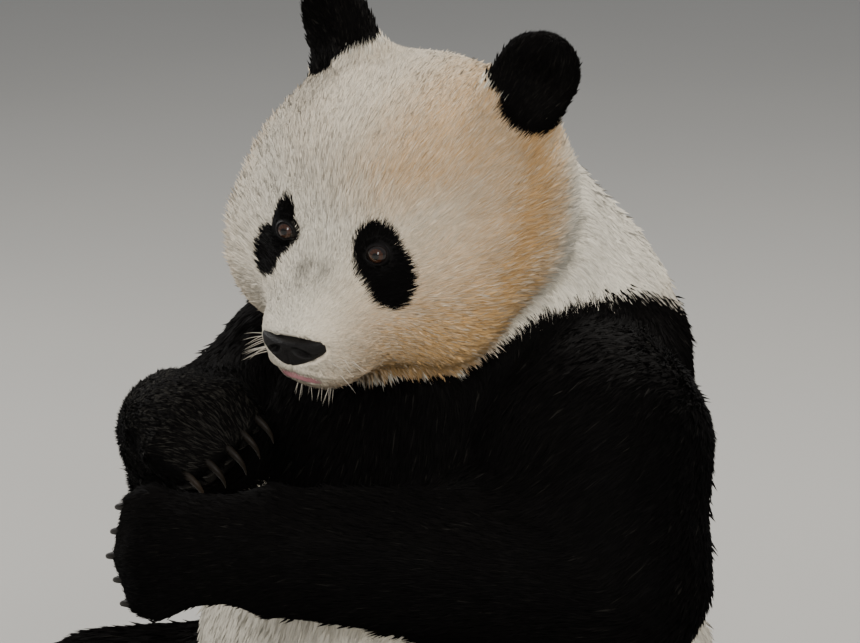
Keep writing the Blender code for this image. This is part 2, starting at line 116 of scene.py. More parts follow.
# name, way from the panda, distance, width, height, watts, colour
LAMPS = (
    ("key", (-0.15, -1.2, 0.85), 3.4, 2.4, 2.4, 44, (1.0, 0.985, 0.96)),
    ("fill", (1.1, -0.35, 0.70), 3.6, 2.6, 2.6, 58, (1.0, 0.965, 0.92)),
    ("rim", (-1.0, -0.22, 0.60), 3.2, 0.9, 0.9, 46, (1.0, 0.98, 0.95)),
    ("back", (-0.20, 0.85, 1.15), 3.2, 1.1, 1.1, 80, (1.0, 0.96, 0.90)),
    ("spark", (0.80, -0.60, 0.33), 3.9, 0.80, 1.7, 46, (1.0, 0.99, 0.97)),
)
DULL_LAMPS = ("key", "fill")  # these don't show in what shines, so that each eye has one spark
STUDIO_COLOUR = (0.80, 0.82, 0.85, 1)
STUDIO_STRENGTH = 0.42

for name, way, distance, width, height, watts, colour in LAMPS:
    way = Vector(way).normalized()
    bpy.ops.object.light_add(type="AREA", location=LAMPS_AIM + way * distance)
    lamp = bpy.context.object
    lamp.name = "lamp_" + name
    lamp.rotation_euler = way.to_track_quat("Z", "Y").to_euler()
    lamp.data.shape = "RECTANGLE"
    lamp.data.size = width
    lamp.data.size_y = height
    lamp.data.energy = watts
    lamp.data.color = colour
    lamp.visible_glossy = name not in DULL_LAMPS

world = bpy.data.worlds.new("studio")
world.use_nodes = True
background = world.node_tree.nodes["Background"]
background.inputs["Color"].default_value = STUDIO_COLOUR
background.inputs["Strength"].default_value = STUDIO_STRENGTH
bpy.context.scene.world = world


class Value:
    """A shader socket. Arithmetic on it adds Math nodes."""

    def __init__(self, finish, socket):
        self.finish = finish
        self.socket = socket

    def maths(self, operation, *terms):
        return self.finish.node("ShaderNodeMath", {"operation": operation}, terms)

    def __add__(self, other):
        return self.maths("ADD", self, other)

    def __rsub__(self, other):
        return self.maths("SUBTRACT", other, self)

    def __mul__(self, other):
        return self.maths("MULTIPLY", self, other)

    __radd__ = __add__
    __rmul__ = __mul__

    def ramp(self, low, high):
        """0 at low, 1 at high, held at both ends and smooth between them."""
        settings = {"interpolation_type": "SMOOTHSTEP"}
        return self.finish.node("ShaderNodeMapRange", settings, (self, low, high))


# The places of sockets on a colour Mix node, and of outputs on Attribute and Texture Coordinate nodes.
MIX_FIRST, MIX_SECOND, MIX_COLOUR = 6, 7, 2
STORED_NUMBER = 2
OBJECT_PLACE = 3


class Finish:
    """A material on one Principled surface, whose other nodes are added by node()."""

    def __init__(self, name, **constants):
        self.material = bpy.data.materials.new(name)
        self.material.use_nodes = True
        self.tree = self.material.node_tree
        self.surface = self.tree.nodes["Principled BSDF"]
        for socket, value in constants.items():
            self.surface.inputs[socket.replace("_", " ")].default_value = value

    def node(self, kind, settings=(), sockets=(), output=0):
        """Adds a node. Its sockets are given by place in a tuple or by name in a dictionary."""
        made = self.tree.nodes.new(kind)
        for setting, value in dict(settings).items():
            setattr(made, setting, value)
        given = sockets.items() if isinstance(sockets, dict) else enumerate(sockets)
        for key, value in given:
            self.feed(made.inputs[key], value)
        return Value(self, made.outputs[output])

    def feed(self, socket, value):
        if isinstance(value, Value):
            self.tree.links.new(value.socket, socket)
        else:
            socket.default_value = value

    def mix(self, first, second, share):
        """A colour that goes from the first to the second."""
        colours = {"Factor": share, MIX_FIRST: first, MIX_SECOND: second}
        return self.node("ShaderNodeMix", {"data_type": "RGBA"}, colours, output=MIX_COLOUR)

    def scaled(self, colour, factor):
        """A colour made lighter or darker."""
        sockets = {"Vector": colour, "Scale": factor}
        return self.node("ShaderNodeVectorMath", {"operation": "SCALE"}, sockets)

    def stored(self, name):
        """A number that the mesh carries for each of its points."""
        return self.node("ShaderNodeAttribute", {"attribute_name": name}, output=STORED_NUMBER)

    def place(self):
        """Object coordinates."""
        return self.node("ShaderNodeTexCoord", output=OBJECT_PLACE)

    def noise(self, size, detail=2.0):
        """Cloudy noise in blotches of about this size."""
        sockets = {"Vector": self.place(), "Scale": 1 / size, "Detail": detail}
        return self.node("ShaderNodeTexNoise", (), sockets)

    def pebbles(self, scale):
        """The distance from the middles of small cells, as on pebbled leather."""
        return self.node("ShaderNodeTexVoronoi", (), {"Vector": self.place(), "Scale": scale})

    def drive(self, name, value):
        """Feeds a socket of the Principled surface."""
        self.feed(self.surface.inputs[name], value)

    def bump(self, height, strength, distance):
        sockets = {"Height": height, "Strength": strength, "Distance": distance}
        self.drive("Normal", self.node("ShaderNodeBump", (), sockets))


FLOOR_SIZE = 60
FLOOR_COLOUR = (0.47, 0.46, 0.435, 1)
FLOOR_CLOUD = (0.43, 0.42, 0.395, 1)
CLOUD_SIZE = 0.9

bpy.ops.mesh.primitive_plane_add(size=FLOOR_SIZE)
floor = bpy.context.object
floor.name = "floor"
floor_finish = Finish("floor", Roughness=0.9)
cloud = floor_finish.noise(CLOUD_SIZE)
floor_finish.drive("Base Color", floor_finish.mix(FLOOR_COLOUR, FLOOR_CLOUD, cloud))
floor.data.materials.append(floor_finish.material)

# ---------------------------------------------------------------- the skin
# One skin covers the whole panda, under the coat by the coat's depth. It is bare and leathery round the
# eyes, on the lips and on the pads of the paws, and it carries the same markings as the coat.

SKIN_CELL = 0.0084
WELD = 0.0008  # the solids swell by this much so that their cuts close
SAME_SPOT = 1e-5

flesh = [name for name in nodes if not name.startswith(("eye", "claw", "nose"))]
copies = [name for name in nodes if not name.startswith("claw")]


def read(items, field, width, kind=np.float32):
    """One row for each of a mesh's items, such as the place of each of its points."""
    found = np.empty(len(items) * width, kind)
    items.foreach_get(field, found)
    return found.reshape(-1, width)


def points_of(mesh):
    return read(mesh.vertices, "co", 3).astype(float)


def normals_of(mesh):
    return read(mesh.vertex_normals, "vector", 3).astype(float)


def move_points(mesh, points):
    mesh.vertices.foreach_set("co", np.asarray(points, np.float32).ravel())
    mesh.update()


def only(obj):
    """Selects nothing but this object."""
    bpy.ops.object.select_all(action="DESELECT")
    obj.select_set(True)
    bpy.context.view_layer.objects.active = obj


def apply_modifier(obj, kind, **settings):
    only(obj)
    made = obj.modifiers.new(kind.lower(), kind)
    for setting, value in settings.items():
        setattr(made, setting, value)
    bpy.ops.object.modifier_apply(modifier=made.name)


bpy.ops.object.select_all(action="DESELECT")
for name in copies:
    twin = nodes[name].copy()
    twin.data = nodes[name].data.copy()
    bpy.context.collection.objects.link(twin)
    twin.select_set(True)
bpy.context.view_layer.objects.active = twin
bpy.ops.object.join()
skin = bpy.context.object
skin.name = "skin"
skin.data.name = "skin"
bpy.ops.object.mode_set(mode="EDIT")
bpy.ops.mesh.select_all(action="SELECT")
bpy.ops.mesh.remove_doubles(threshold=SAME_SPOT)
bpy.ops.transform.shrink_fatten(value=WELD)
bpy.ops.object.mode_set(mode="OBJECT")
apply_modifier(skin, "REMESH", mode="VOXEL", voxel_size=SKIN_CELL)
apply_modifier(skin, "SMOOTH", factor=0.5, iterations=4)

# Which solid each point of the skin belongs to.
PARTS = sorted(flesh)
corners = []
facets = []
facet_part = []
for name in copies:
    mesh = nodes[name].data
    start = len(corners)
    corners.extend(vert.co.copy() for vert in mesh.vertices)
    facets.extend([start + i for i in face.vertices] for face in mesh.polygons)
    facet_part.extend([PARTS.index(name if name in PARTS else "head")] * len(mesh.polygons))
solids = BVHTree.FromPolygons(corners, facets)


def parts_of(points):
    """The place in PARTS of the nearest solid to each point."""
    return np.array([facet_part[solids.find_nearest(point)[2]] for point in points])


def stem(part):
    """A part's name without its side."""
    return part.replace("_left", "").replace("_right", "")


# What grows on each part: the depth of the coat, and its tufts' length, width and number per square metre.
GROWTH = {
    "head": (0.0095, 0.0145, 0.00080, 720000),
    "ear": (0.0070, 0.0155, 0.00095, 620000),
    "neck": (0.0115, 0.0210, 0.00105, 330000),
    "shoulders": (0.0125, 0.0270, 0.00160, 126000),
    "trunk": (0.0125, 0.0280, 0.00195, 66000),
    "tail": (0.0120, 0.0280, 0.00150, 130000),
    "upper_arm": (0.0120, 0.0260, 0.00165, 108000),
    "forearm": (0.0110, 0.0240, 0.00150, 132000),
    "forepaw": (0.0060, 0.0130, 0.00115, 270000),
    "thigh": (0.0120, 0.0270, 0.00210, 50000),
    "shank": (0.0110, 0.0250, 0.00185, 66000),
    "foot": (0.0055, 0.0120, 0.00140, 150000),
}
growth = np.array([GROWTH[stem(part)] for part in PARTS])


class Web:
    """The skin's points and who their neighbours are."""

    def __init__(self, mesh):
        self.near, self.far = read(mesh.edges, "vertices", 2, np.int32).T
        self.count = len(mesh.vertices)
        links = np.bincount(self.near, minlength=self.count) + np.bincount(self.far, minlength=self.count)
        self.links = np.maximum(links, 1)[:, None]

    def relaxed(self, field, rounds, free=1.0):
        """A field drawn half-way to its neighbours' mean, round after round, where its points are free."""
        field = np.array(field, float).reshape(self.count, -1)
        for _ in range(rounds):
            total = np.empty_like(field)
            for column in range(field.shape[1]):
                values = field[:, column]
                total[:, column] = np.bincount(self.near, values[self.far], self.count)
                total[:, column] += np.bincount(self.far, values[self.near], self.count)
            field += (total / self.links - field) * 0.5 * free
        return field


def smooth_step(value, low, high):
    """0 at low, 1 at high, held at both ends and smooth between them."""
    share = np.clip((value - low) / (high - low), 0, 1)
    return share * share * (3 - 2 * share)


def unit(vectors):
    return vectors / np.maximum(np.linalg.norm(vectors, axis=-1, keepdims=True), 1e-12)


# The eyes and the nose in the head's frame. Side 1 is the left and side -1 the right, and h is always
# a row of points in the head's frame.
EYE_AT = {1: np.array((0.0484, -0.1328, 0.0216)), -1: np.array((-0.0520, -0.1335, 0.0205))}
EYE_WAY = {1: unit(np.array((0.26, -0.94, 0.14))), -1: unit(np.array((0.14, -0.96, 0.16)))}
EYE_RADIUS = 0.0119
NOSE_IN_HEAD = np.array((0, -0.2100, -0.0580))
NOSE_ROLL = radians(7)  # the nose is skewed on the face
NOSE_ASIDE = -0.0022

# The share of its coat that the head keeps at the nose and at the eyes, and where the coat is full again.
COAT_AT_NOSE, NOSE_THIN, NOSE_FULL = 0.12, 0.020, 0.125
COAT_AT_EYE, EYE_THIN, EYE_FULL = 0.25, 0.014, 0.050


def eye_axes(side):
    """Towards the nose, up and out of an eye."""
    inward = unit(np.cross(EYE_WAY[side], np.array((0, 0, 1.0)))) * side
    return np.stack([inward, np.cross(inward, EYE_WAY[side]) * side, EYE_WAY[side]])


def near_eye(h):
    """For each point: its place towards the nose, up and out from the nearer eye, and that eye's axes."""
    left = h[:, 0] > 0
    axes = np.where(left[:, None, None], eye_axes(1), eye_axes(-1))
    offset = h - np.where(left[:, None], EYE_AT[1], EYE_AT[-1])
    return (axes * offset[:, None, :]).sum(2), axes


def eye_distance(h):
    return np.linalg.norm(near_eye(h)[0], axis=1)


def nose_distance(h):
    return np.linalg.norm(h - NOSE_IN_HEAD, axis=1)


def coat_depth(h, depth):
    """The head's coat thins towards the nose and round the eyes."""
    by_nose = COAT_AT_NOSE + (1 - COAT_AT_NOSE) * smooth_step(nose_distance(h), NOSE_THIN, NOSE_FULL)
    by_eye = COAT_AT_EYE + (1 - COAT_AT_EYE) * smooth_step(eye_distance(h), EYE_THIN, EYE_FULL)
    return depth * np.minimum(by_nose, by_eye)


points = points_of(skin.data)
part = parts_of(points)
depth = growth[part, 0]
on_head = part == PARTS.index("head")
depth[on_head] = coat_depth(to_head(points[on_head]), depth[on_head])
web = Web(skin.data)
depth = web.relaxed(depth, 6) + WELD
move_points(skin.data, points - normals_of(skin.data) * depth)
apply_modifier(skin, "SMOOTH", factor=0.5, iterations=2)


def subdivide_where(obj, wanted):
    """Halves the edges of the faces whose middle in the head's frame is wanted."""
    only(obj)
    for items in (obj.data.polygons, obj.data.edges, obj.data.vertices):
        items.foreach_set("select", np.zeros(len(items), bool))
    middles = read(obj.data.polygons, "center", 3).astype(float)
    obj.data.polygons.foreach_set("select", wanted(to_head(middles)))
    bpy.ops.object.mode_set(mode="EDIT")
    bpy.ops.mesh.select_mode(type="FACE")
    bpy.ops.mesh.subdivide(number_cuts=1)
    bpy.ops.object.mode_set(mode="OBJECT")


def relax_where(obj, wanted, rounds):
    """Evens out the points that are wanted."""
    points = points_of(obj.data)
    free = wanted(to_head(points)).astype(float)[:, None]
    move_points(obj.data, Web(obj.data).relaxed(points, rounds, free))


# The skin's edges are halved four times, each time over less of the face, and then evened out there.
FACE_FRONT = -0.095
FACE_HALF_WIDTH = 0.115
MOUTH_FRONT = -0.135
MOUTH_HALF_WIDTH = 0.062
MOUTH_HEIGHT = -0.085
MOUTH_SPREAD = 0.032  # above and below that height
ROUND_EYES, LIDS, LID_EDGES = 0.026, 0.0185, 0.0165  # how far they go from the middle of an eye


def on_face(h):
    return (h[:, 1] < FACE_FRONT) & (np.abs(h[:, 0]) < FACE_HALF_WIDTH)


def round_mouth_and_eyes(h):
    at_mouth = (h[:, 1] < MOUTH_FRONT) & (np.abs(h[:, 0]) < MOUTH_HALF_WIDTH)
    at_mouth &= np.abs(h[:, 2] - MOUTH_HEIGHT) < MOUTH_SPREAD
    return at_mouth | (eye_distance(h) < ROUND_EYES)


def at_lids(h):
    return eye_distance(h) < LIDS


def at_lid_edges(h):
    return eye_distance(h) < LID_EDGES


for wanted, rounds in ((on_face, 4), (round_mouth_and_eyes, 4), (at_lids, 3), (at_lid_edges, 0)):
    subdivide_where(skin, wanted)
    relax_where(skin, wanted, rounds)

# Lids: the skin wraps each eyeball up to a round opening, inside which it drops behind the ball.
LID_THICKNESS = 0.0011
LID_OPENING = (0.0104, 0.0090)  # half its length and half its height
RIGHT_OPENING = 0.84  # the right eye is closed a little more
LID_SLANT = radians(32)  # its inner corner points down to the nose
LID_CORNER = (0.0112, 0.0026, 0.0022)  # how far along it is, half its length and half its height
LID_REACH = 2.3  # how far the lids reach, in openings
LID_FLAT = 0.35  # the least height of a lid over the eye's middle, in shells
CREASE_HIGH = 0.0011  # above the upper lid
POUCH_HIGH = 0.0007  # below the lower lid
BEHIND_LIDS = 0.0010
LID_DEEP = 0.012  # how far behind the eye's middle the skin still follows the ball


def lid_ring(h):
    """Below 1 between the lids: a round opening with a small corner towards the nose."""
    u, v, _ = near_eye(h)[0].T
    along = u * cos(LID_SLANT) - v * sin(LID_SLANT)
    above = u * sin(LID_SLANT) + v * cos(LID_SLANT)
    at, long, high = LID_CORNER
    corner = 0.30 * np.exp(-(((along - at) / long) ** 2) - (above / high) ** 2)
    opening = np.where(h[:, 0] > 0, 1.0, RIGHT_OPENING)
    return np.hypot(along / LID_OPENING[0], above / LID_OPENING[1]) / opening - corner


def shape_lids(h):
    """Wraps the skin over the eyeball as lids, with a crease above and a pouch below."""
    local, axes = near_eye(h)
    u, v, w = local.T
    ring = lid_ring(h)
    shell = EYE_RADIUS + LID_THICKNESS
    on_ball = np.sqrt(np.maximum(shell**2 - u**2 - v**2, (LID_FLAT * shell) ** 2))
    crease = CREASE_HIGH * np.exp(-(((ring - 1.62) / 0.16) ** 2)) * smooth_step(v, -0.002, 0.004)
    pouch = POUCH_HIGH * np.exp(-(((ring - 1.75) / 0.2) ** 2)) * smooth_step(-v, 0.001, 0.005)
    share = smooth_step(ring, 1.25, LID_REACH)
    lid = (1 - share) * on_ball + share * w - crease - pouch
    inside = smooth_step(ring, 1.03, 0.93)
    lid = lid * (1 - inside) + BEHIND_LIDS * inside
    near = (ring < LID_REACH) & (w > -LID_DEEP)
    return h + np.where(near, lid - w, 0)[:, None] * axes[:, 2]


# The mouth is a line under the nose that runs back below the two flews. The pink lower lip fills it.
MOUTH_LINE = np.array(
    (
        (0.000, -0.2160, -0.0845),
        (0.012, -0.2130, -0.0860),
        (0.026, -0.2050, -0.0905),
        (0.038, -0.1880, -0.0960),
        (0.046, -0.1680, -0.0985),
        (0.051, -0.1480, -0.0965),
    )
)
MOUTH_DEPTH = 0.0058
MOUTH_WIDTH = 0.0026
UPPER_LIP = (0.0019, 0.0062, 0.0038)  # how full it is, how far above the line, and half its height
LOWER_LIP = (0.0030, -0.0058, 0.0032)
LOWER_LIP_WIDE = 0.022
LIP_REACH = 0.014
LIP_GROOVE = (0.0022, 0.0017)  # how deep and how wide, from the nose down to the lip
NOSE_SEAT = (0.0375, 0.0155)  # half the width and half the height of the hollow behind the nose
NOSE_SEAT_DEEP = 0.0090
NOSE_END = -0.185  # the nose and its hollow are in front of this
OFF = 9.0  # a ring's value far outside it


def beside_line(h, line):
    """How far each point is from a line of straight runs, how far along it, and how far above it."""
    folded = np.stack([np.abs(h[:, 0]), h[:, 1], h[:, 2]], 1)
    best = np.full(len(h), 1e9)
    along = np.zeros(len(h))
    above = np.zeros(len(h))
    for i, (start, end) in enumerate(zip(line[:-1], line[1:])):
        run = end - start
        share = np.clip((folded - start) @ run / (run @ run), 0, 1)
        offset = folded - start - share[:, None] * run
        gap = np.linalg.norm(offset, axis=1)
        closer = gap < best
        best = np.where(closer, gap, best)
        along = np.where(closer, (i + share) / (len(line) - 1), along)
        above = np.where(closer, offset[:, 2], above)
    return best, along, above


def nose_ring(h):
    """Below 1 where the nose covers the face."""
    x, z = h[:, 0] - NOSE_ASIDE, h[:, 2] - NOSE_IN_HEAD[2]
    wide = (x * cos(NOSE_ROLL) + z * sin(NOSE_ROLL)) / NOSE_SEAT[0]
    tall = (z * cos(NOSE_ROLL) - x * sin(NOSE_ROLL)) / NOSE_SEAT[1]
    return np.where(h[:, 1] < NOSE_END, np.hypot(wide, tall), OFF)


FACE_BACK = -0.08


def shape_mouth(h, normals):
    """Cuts the mouth, fills the lips, and sinks the groove above them and the nose's hollow."""
    gap, along, above = beside_line(h, MOUTH_LINE)
    fade = smooth_step(along, 1.0, 0.85)
    cut = MOUTH_DEPTH * np.exp(-((gap / MOUTH_WIDTH) ** 2)) * fade
    full, at, high = UPPER_LIP
    upper = full * np.exp(-(((above - at) / high) ** 2)) * (gap < LIP_REACH) * fade
    full, at, high = LOWER_LIP
    lower = full * np.exp(-(((above - at) / high) ** 2) - (h[:, 0] / LOWER_LIP_WIDE) ** 2) * (gap < LIP_REACH)
    deep, wide = LIP_GROOVE
    groove = deep * np.exp(-((h[:, 0] / wide) ** 2))
    groove *= smooth_step(h[:, 2], -0.088, -0.084) * smooth_step(h[:, 2], -0.066, -0.072)
    groove *= h[:, 1] < -0.19
    seat = NOSE_SEAT_DEEP * smooth_step(nose_ring(h), 1.0, 0.84)
    return h + normals * (upper + lower - cut - groove - seat)[:, None]


points = points_of(skin.data)
h = to_head(points)
normals = normals_of(skin.data) @ np.array(head_turn)
face_only = h[:, 1] < FACE_BACK
h[face_only] = shape_mouth(h, normals)[face_only]
h[face_only] = shape_lids(h)[face_only]
move_points(skin.data, from_head(h))
bpy.ops.object.mode_set(mode="EDIT")
bpy.ops.mesh.select_all(action="SELECT")
bpy.ops.mesh.quads_convert_to_tris()
bpy.ops.object.mode_set(mode="OBJECT")
bpy.ops.object.shade_smooth()

# The pads: five toe pads and one broad pad on each sole, and the same on the palms. A claw's node has six
# corners at its root, five at its bend and one at its tip.
TOE_PAD = (0.0095, 0.0115)  # half its width and half its length
BROAD_PAD = (0.043, 0.021)
BROAD_PAD_AHEAD = {"fore": 0.004, "hind": 0.012}  # of the middle of the paw
TOE_PAD_BACK = 0.013  # from the claw's root
TOE_PAD_DOWN = 0.016
PAD_HIGH = 0.0042
PAD_RIM = 0.0012  # the crease round a pad
PAD_ABOVE, PAD_BELOW = 0.014, 0.060  # how far from its middle the skin still belongs to a pad
BROAD_PAD_BEND = 5.0
FLOOR_GAP = 0.0005
PADS = []  # middle, across, ahead, down, and the half sizes


def claw_line(name):
    """The middle of a claw's root, the middle of its bend, and its tip."""
    spots = np.unique(points_of(nodes[name].data).round(5), axis=0)
    reach = np.linalg.norm(spots[:, None] - spots[None], axis=2)
    tip = spots[np.argmax(np.sort(reach, axis=1)[:, 5])]
    order = np.argsort(np.linalg.norm(spots - tip, axis=1))
    return spots[order[6:]].mean(0), spots[order[1:6]].mean(0), tip


CLAWS = sorted(name for name in nodes if name.startswith("claw"))
claw_lines = {name: claw_line(name) for name in CLAWS}
paw_axes = {}
for limb, paw in (("fore", "forepaw"), ("hind", "foot")):
    for side in ("left", "right"):
        lines = [claw_lines[f"claw_{limb}_{side}_{i}"] for i in range(1, 6)]
        across = unit(lines[4][0] - lines[0][0])
        centre = np.array(middle(f"{paw}_{side}"))
        ahead = np.mean([line[0] for line in lines], axis=0) - centre
        ahead = unit(ahead - across * (ahead @ across))
        down = np.mean([line[2] - line[0] for line in lines], axis=0)
        down = unit(down - across * (down @ across) - ahead * (down @ ahead))
        paw_axes[f"{paw}_{side}"] = (across, ahead, down)
        for root, _, _ in lines:
            toe = root - ahead * TOE_PAD_BACK + down * TOE_PAD_DOWN
            PADS.append((toe, across, ahead, down, TOE_PAD))
        PADS.append((centre + ahead * BROAD_PAD_AHEAD[limb], across, ahead, down, BROAD_PAD))


def pad_ring(points, normals):
    """Below 1 on a pad, above it elsewhere."""
    ring = np.full(len(points), OFF)
    for centre, across, ahead, down, (half_width, half_length) in PADS:
        offset = points - centre
        x, y, z = offset @ across, offset @ ahead, offset @ down
        bent = y + (BROAD_PAD_BEND * x * x if half_width == BROAD_PAD[0] else 0)
        found = np.hypot(x / half_width, bent / half_length)
        under = (z > -PAD_ABOVE) & (z < PAD_BELOW) & (normals @ down > 0.45)
        ring = np.minimum(ring, np.where(under, found, OFF))
    return ring


points = points_of(skin.data)
normals = normals_of(skin.data)
part = parts_of(points)
web = Web(skin.data)
ring = pad_ring(points, normals)
swell = PAD_HIGH * smooth_step(ring, 1.15, 0.55)
swell -= PAD_RIM * np.exp(-(((ring - 1.25) / 0.15) ** 2))
points = points + normals * swell[:, None]
points[:, 2] = np.maximum(points[:, 2], FLOOR_GAP)
move_points(skin.data, points)
normals = normals_of(skin.data)


# The markings. Each is a signed distance, above zero where the coat is black.
# Each eye patch: its middle outwards and up in the head's frame, its mean radius, and the waves of its edge,
# each with their number, their height and where the first one peaks.
PATCHES = {
    1: (0.0600, 0.0120, 0.0326, ((1, 0.0030, 178), (2, 0.0104, -113), (3, 0.0010, 79), (4, 0.0021, 92))),
    -1: (0.0640, 0.0100, 0.0266, ((1, 0.0039, -46), (2, 0.0122, -135), (3, 0.0030, -99), (4, 0.0046, 61))),
}
PATCH_BACK = -0.07  # the eye patches are in front of this
PATCH_OVER_EYE = 0.0145  # the patch goes at least this far from the eye
NOT_BLACK = -0.05
BAND_TOP = 0.676
BAND_LOW = 0.422
BAND_BACK = 0.13  # where the top of the band is highest
BAND_ARCH = 2.1  # how fast it falls to the front
BAND_SLOPE = 0.25  # of its lower edge, which is lowest at the back
BAND_LOW_AT = 0.10  # where the lower edge has its own height
BAND_EDGE = 0.030  # the distance into or out of the band is told no further than this


def eye_patch(h):
    """A leaning egg round each eye, whose radius swells and shrinks in waves as it goes round."""
    inside = np.full(len(h), NOT_BLACK)
    for side, (outward, up, radius, waves) in PATCHES.items():
        x, z = h[:, 0] * side - outward, h[:, 2] - up
        edge = np.full(len(h), radius)
        for number, size, peak in waves:
            edge += size * np.cos(number * np.arctan2(z, x) - radians(peak))
        off_eye = np.hypot(h[:, 0] - EYE_AT[side][0], h[:, 2] - EYE_AT[side][2])
        found = np.maximum((edge - np.hypot(x, z)) * 0.85, PATCH_OVER_EYE - off_eye)
        inside = np.maximum(inside, np.where(h[:, 1] < PATCH_BACK, found, NOT_BLACK))
    return inside


def below_band_top(points):
    return BAND_TOP - BAND_ARCH * (points[:, 1] - BAND_BACK) ** 2 - points[:, 2]


def above_band_low(points):
    return points[:, 2] - (BAND_LOW - BAND_SLOPE * (points[:, 1] - BAND_LOW_AT))


def blackness(points, part):
    """The signed distance into black, from the part that the skin belongs to."""
    found = np.full(len(points), BAND_EDGE)
    for i, name in enumerate(PARTS):
        here = part == i
        if name in ("head", "tail"):
            found[here] = -BAND_EDGE
        elif name in ("neck", "shoulders", "trunk"):
            found[here] = np.minimum(below_band_top(points[here]), above_band_low(points[here]))
        elif stem(name) == "upper_arm":
            found[here] = below_band_top(points[here])
    return np.clip(found, -BAND_EDGE, BAND_EDGE)


black = web.relaxed(blackness(points, part), 6)[:, 0]

# The way the hair grows: from the nose over the head, out along the ears, down the body, along the limbs.
EAR_ROOT = {"left": np.array((0.084, 0.050, 0.088)), "right": np.array((-0.084, 0.050, 0.088))}
NEXT_PART = {"upper_arm": "forearm", "forearm": "forepaw", "thigh": "shank", "shank": "foot"}
BODY_WAY = {
    "neck": (0, 0.25, -1),
    "shoulders": (0, 0.10, -1),
    "trunk": (0, 0.10, -1),
    "tail": (0, 0.55, -0.8),
}
HEAD_PARTING = NOSE_IN_HEAD + np.array((0, 0.012, 0))  # all of the head's hair points away from here
SWIRL = 1.6  # how strongly the hair turns away from the eyes
SWIRL_REACH = 0.024


def growth_way(points, part):
    """The way that hair points on each part, not yet laid on the skin."""
    way = np.zeros_like(points)
    h = to_head(points)
    turn = np.array(head_turn).T
    for i, name in enumerate(PARTS):
        here = part == i
        if name == "head":
            way[here] = unit(h[here] - HEAD_PARTING) @ turn
        elif name.startswith("ear"):
            way[here] = unit(h[here] - EAR_ROOT[name.split("_")[-1]]) @ turn
        elif name in BODY_WAY:
            way[here] = BODY_WAY[name]
        elif name in paw_axes:
            way[here] = paw_axes[name][1]
        else:
            end = name.replace(stem(name), NEXT_PART[stem(name)])
            way[here] = unit(np.array(middle(end) - middle(name)))
    return way


def laid(way, normals):
    """The part of the way that lies in the skin."""
    return unit(way - normals * (way * normals).sum(1)[:, None])


h = to_head(points)
way = laid(growth_way(points, part), normals)
for _ in range(5):
    way = laid(web.relaxed(way, 5), normals)
local, axes = near_eye(h)
from_eye = eye_distance(h)
outward = local[:, :1] * axes[:, 0] + local[:, 1:2] * axes[:, 1]
swirl = np.exp(-((from_eye / SWIRL_REACH) ** 2))[:, None] * unit(outward) * SWIRL
way = laid(way + swirl @ np.array(head_turn).T, normals)

# Bare skin: the pads, the edges of the lids, the lips and the hollow behind the nose. The lower lip is pink.
gap, along, above = beside_line(h, MOUTH_LINE)
at_front = (h[:, 1] < MOUTH_FRONT) & (along < 0.97)
pink = smooth_step(np.abs(above + 0.0042), 0.0048, 0.0034) * smooth_step(np.abs(h[:, 0]), 0.027, 0.018)
pink = pink * at_front * (gap < 0.011)
lid_edge = smooth_step(lid_ring(h), 1.28, 1.16) * (local[:, 2] > -0.01) * (from_eye < 0.02)
lip_edge = smooth_step(gap, 0.0042, 0.0024) * at_front
nose_hollow = smooth_step(nose_ring(h), 0.98, 0.88)
bare = np.max((smooth_step(ring, 1.12, 0.98), lid_edge, pink, lip_edge, nose_hollow), axis=0)


def store(mesh, name, values):
    """Keeps a number for each of a mesh's points, where its material reads it."""
    made = mesh.attributes.new(name, "FLOAT", "POINT")
    made.data.foreach_set("value", np.asarray(values, np.float32).ravel())


RUFF_LINE = np.array(
    (
        (0.118, 0.030, 0.105),
        (0.136, 0.008, 0.080),
        (0.150, -0.022, 0.040),
        (0.156, -0.054, 0.003),
        (0.150, -0.084, -0.025),
        (0.136, -0.104, -0.050),
        (0.112, -0.112, -0.078),
        (0.082, -0.105, -0.112),
    )
)


def stain_and_backlight(h):
    """How warm the white hair is along the cheek ruffs, the jaw and the roots of the ears: partly a real
    stain, partly painted backlight glowing through the hair.
    """
    gap = beside_line(h, RUFF_LINE)[0]
    left = smooth_step(h[:, 0], -0.03, 0.06)  # the right side is less warm
    behind = h[:, 1] + 0.054 - 0.85 * h[:, 2]
    ruff = (0.30 + 0.66 * left) * np.exp(-((gap / 0.038) ** 2))
    low = 0.25 * smooth_step(-h[:, 2], 0.0, 0.06)
    flank = (0.16 + (0.56 + low) * left) * np.exp(-((gap / 0.105) ** 2)) * smooth_step(behind, 0.090, 0.035)
    chin = 0.35 * smooth_step(-h[:, 2], 0.085, 0.13) * (h[:, 1] > -0.20)
    crown = (0.18 + 0.48 * left) * smooth_step(h[:, 2], 0.02, 0.09)
    return np.clip(np.maximum(np.maximum(ruff, flank), crown) + chin, 0, 1)


# Where the black of the ear runs out over the head, and how far.
EAR_BASE = np.array((0.104, 0.045, 0.108))
EAR_BASE_REACH = 0.0315


def ear_base(h):
    folded = np.stack([np.abs(h[:, 0]), h[:, 1], h[:, 2]], 1)
    return np.maximum(EAR_BASE_REACH - np.linalg.norm(folded - EAR_BASE, axis=1), NOT_BLACK)


def darkened(points, black_here):
    """The signed distance into black, with the eye patches and the ears' roots."""
    h = to_head(points)
    return np.maximum(np.maximum(black_here, eye_patch(h)), ear_base(h))


# Darker spots on the nose's bridge: across and up in the head's frame, size, and how much darker.
BRIDGE_DARK_SPOTS = ((-0.020, -0.003, 0.0080, 0.42), (0.004, 0.003, 0.0070, 0.26), (-0.008, 0.0, 0.0180, 0.13))
DARKER_CROWN = 0.09


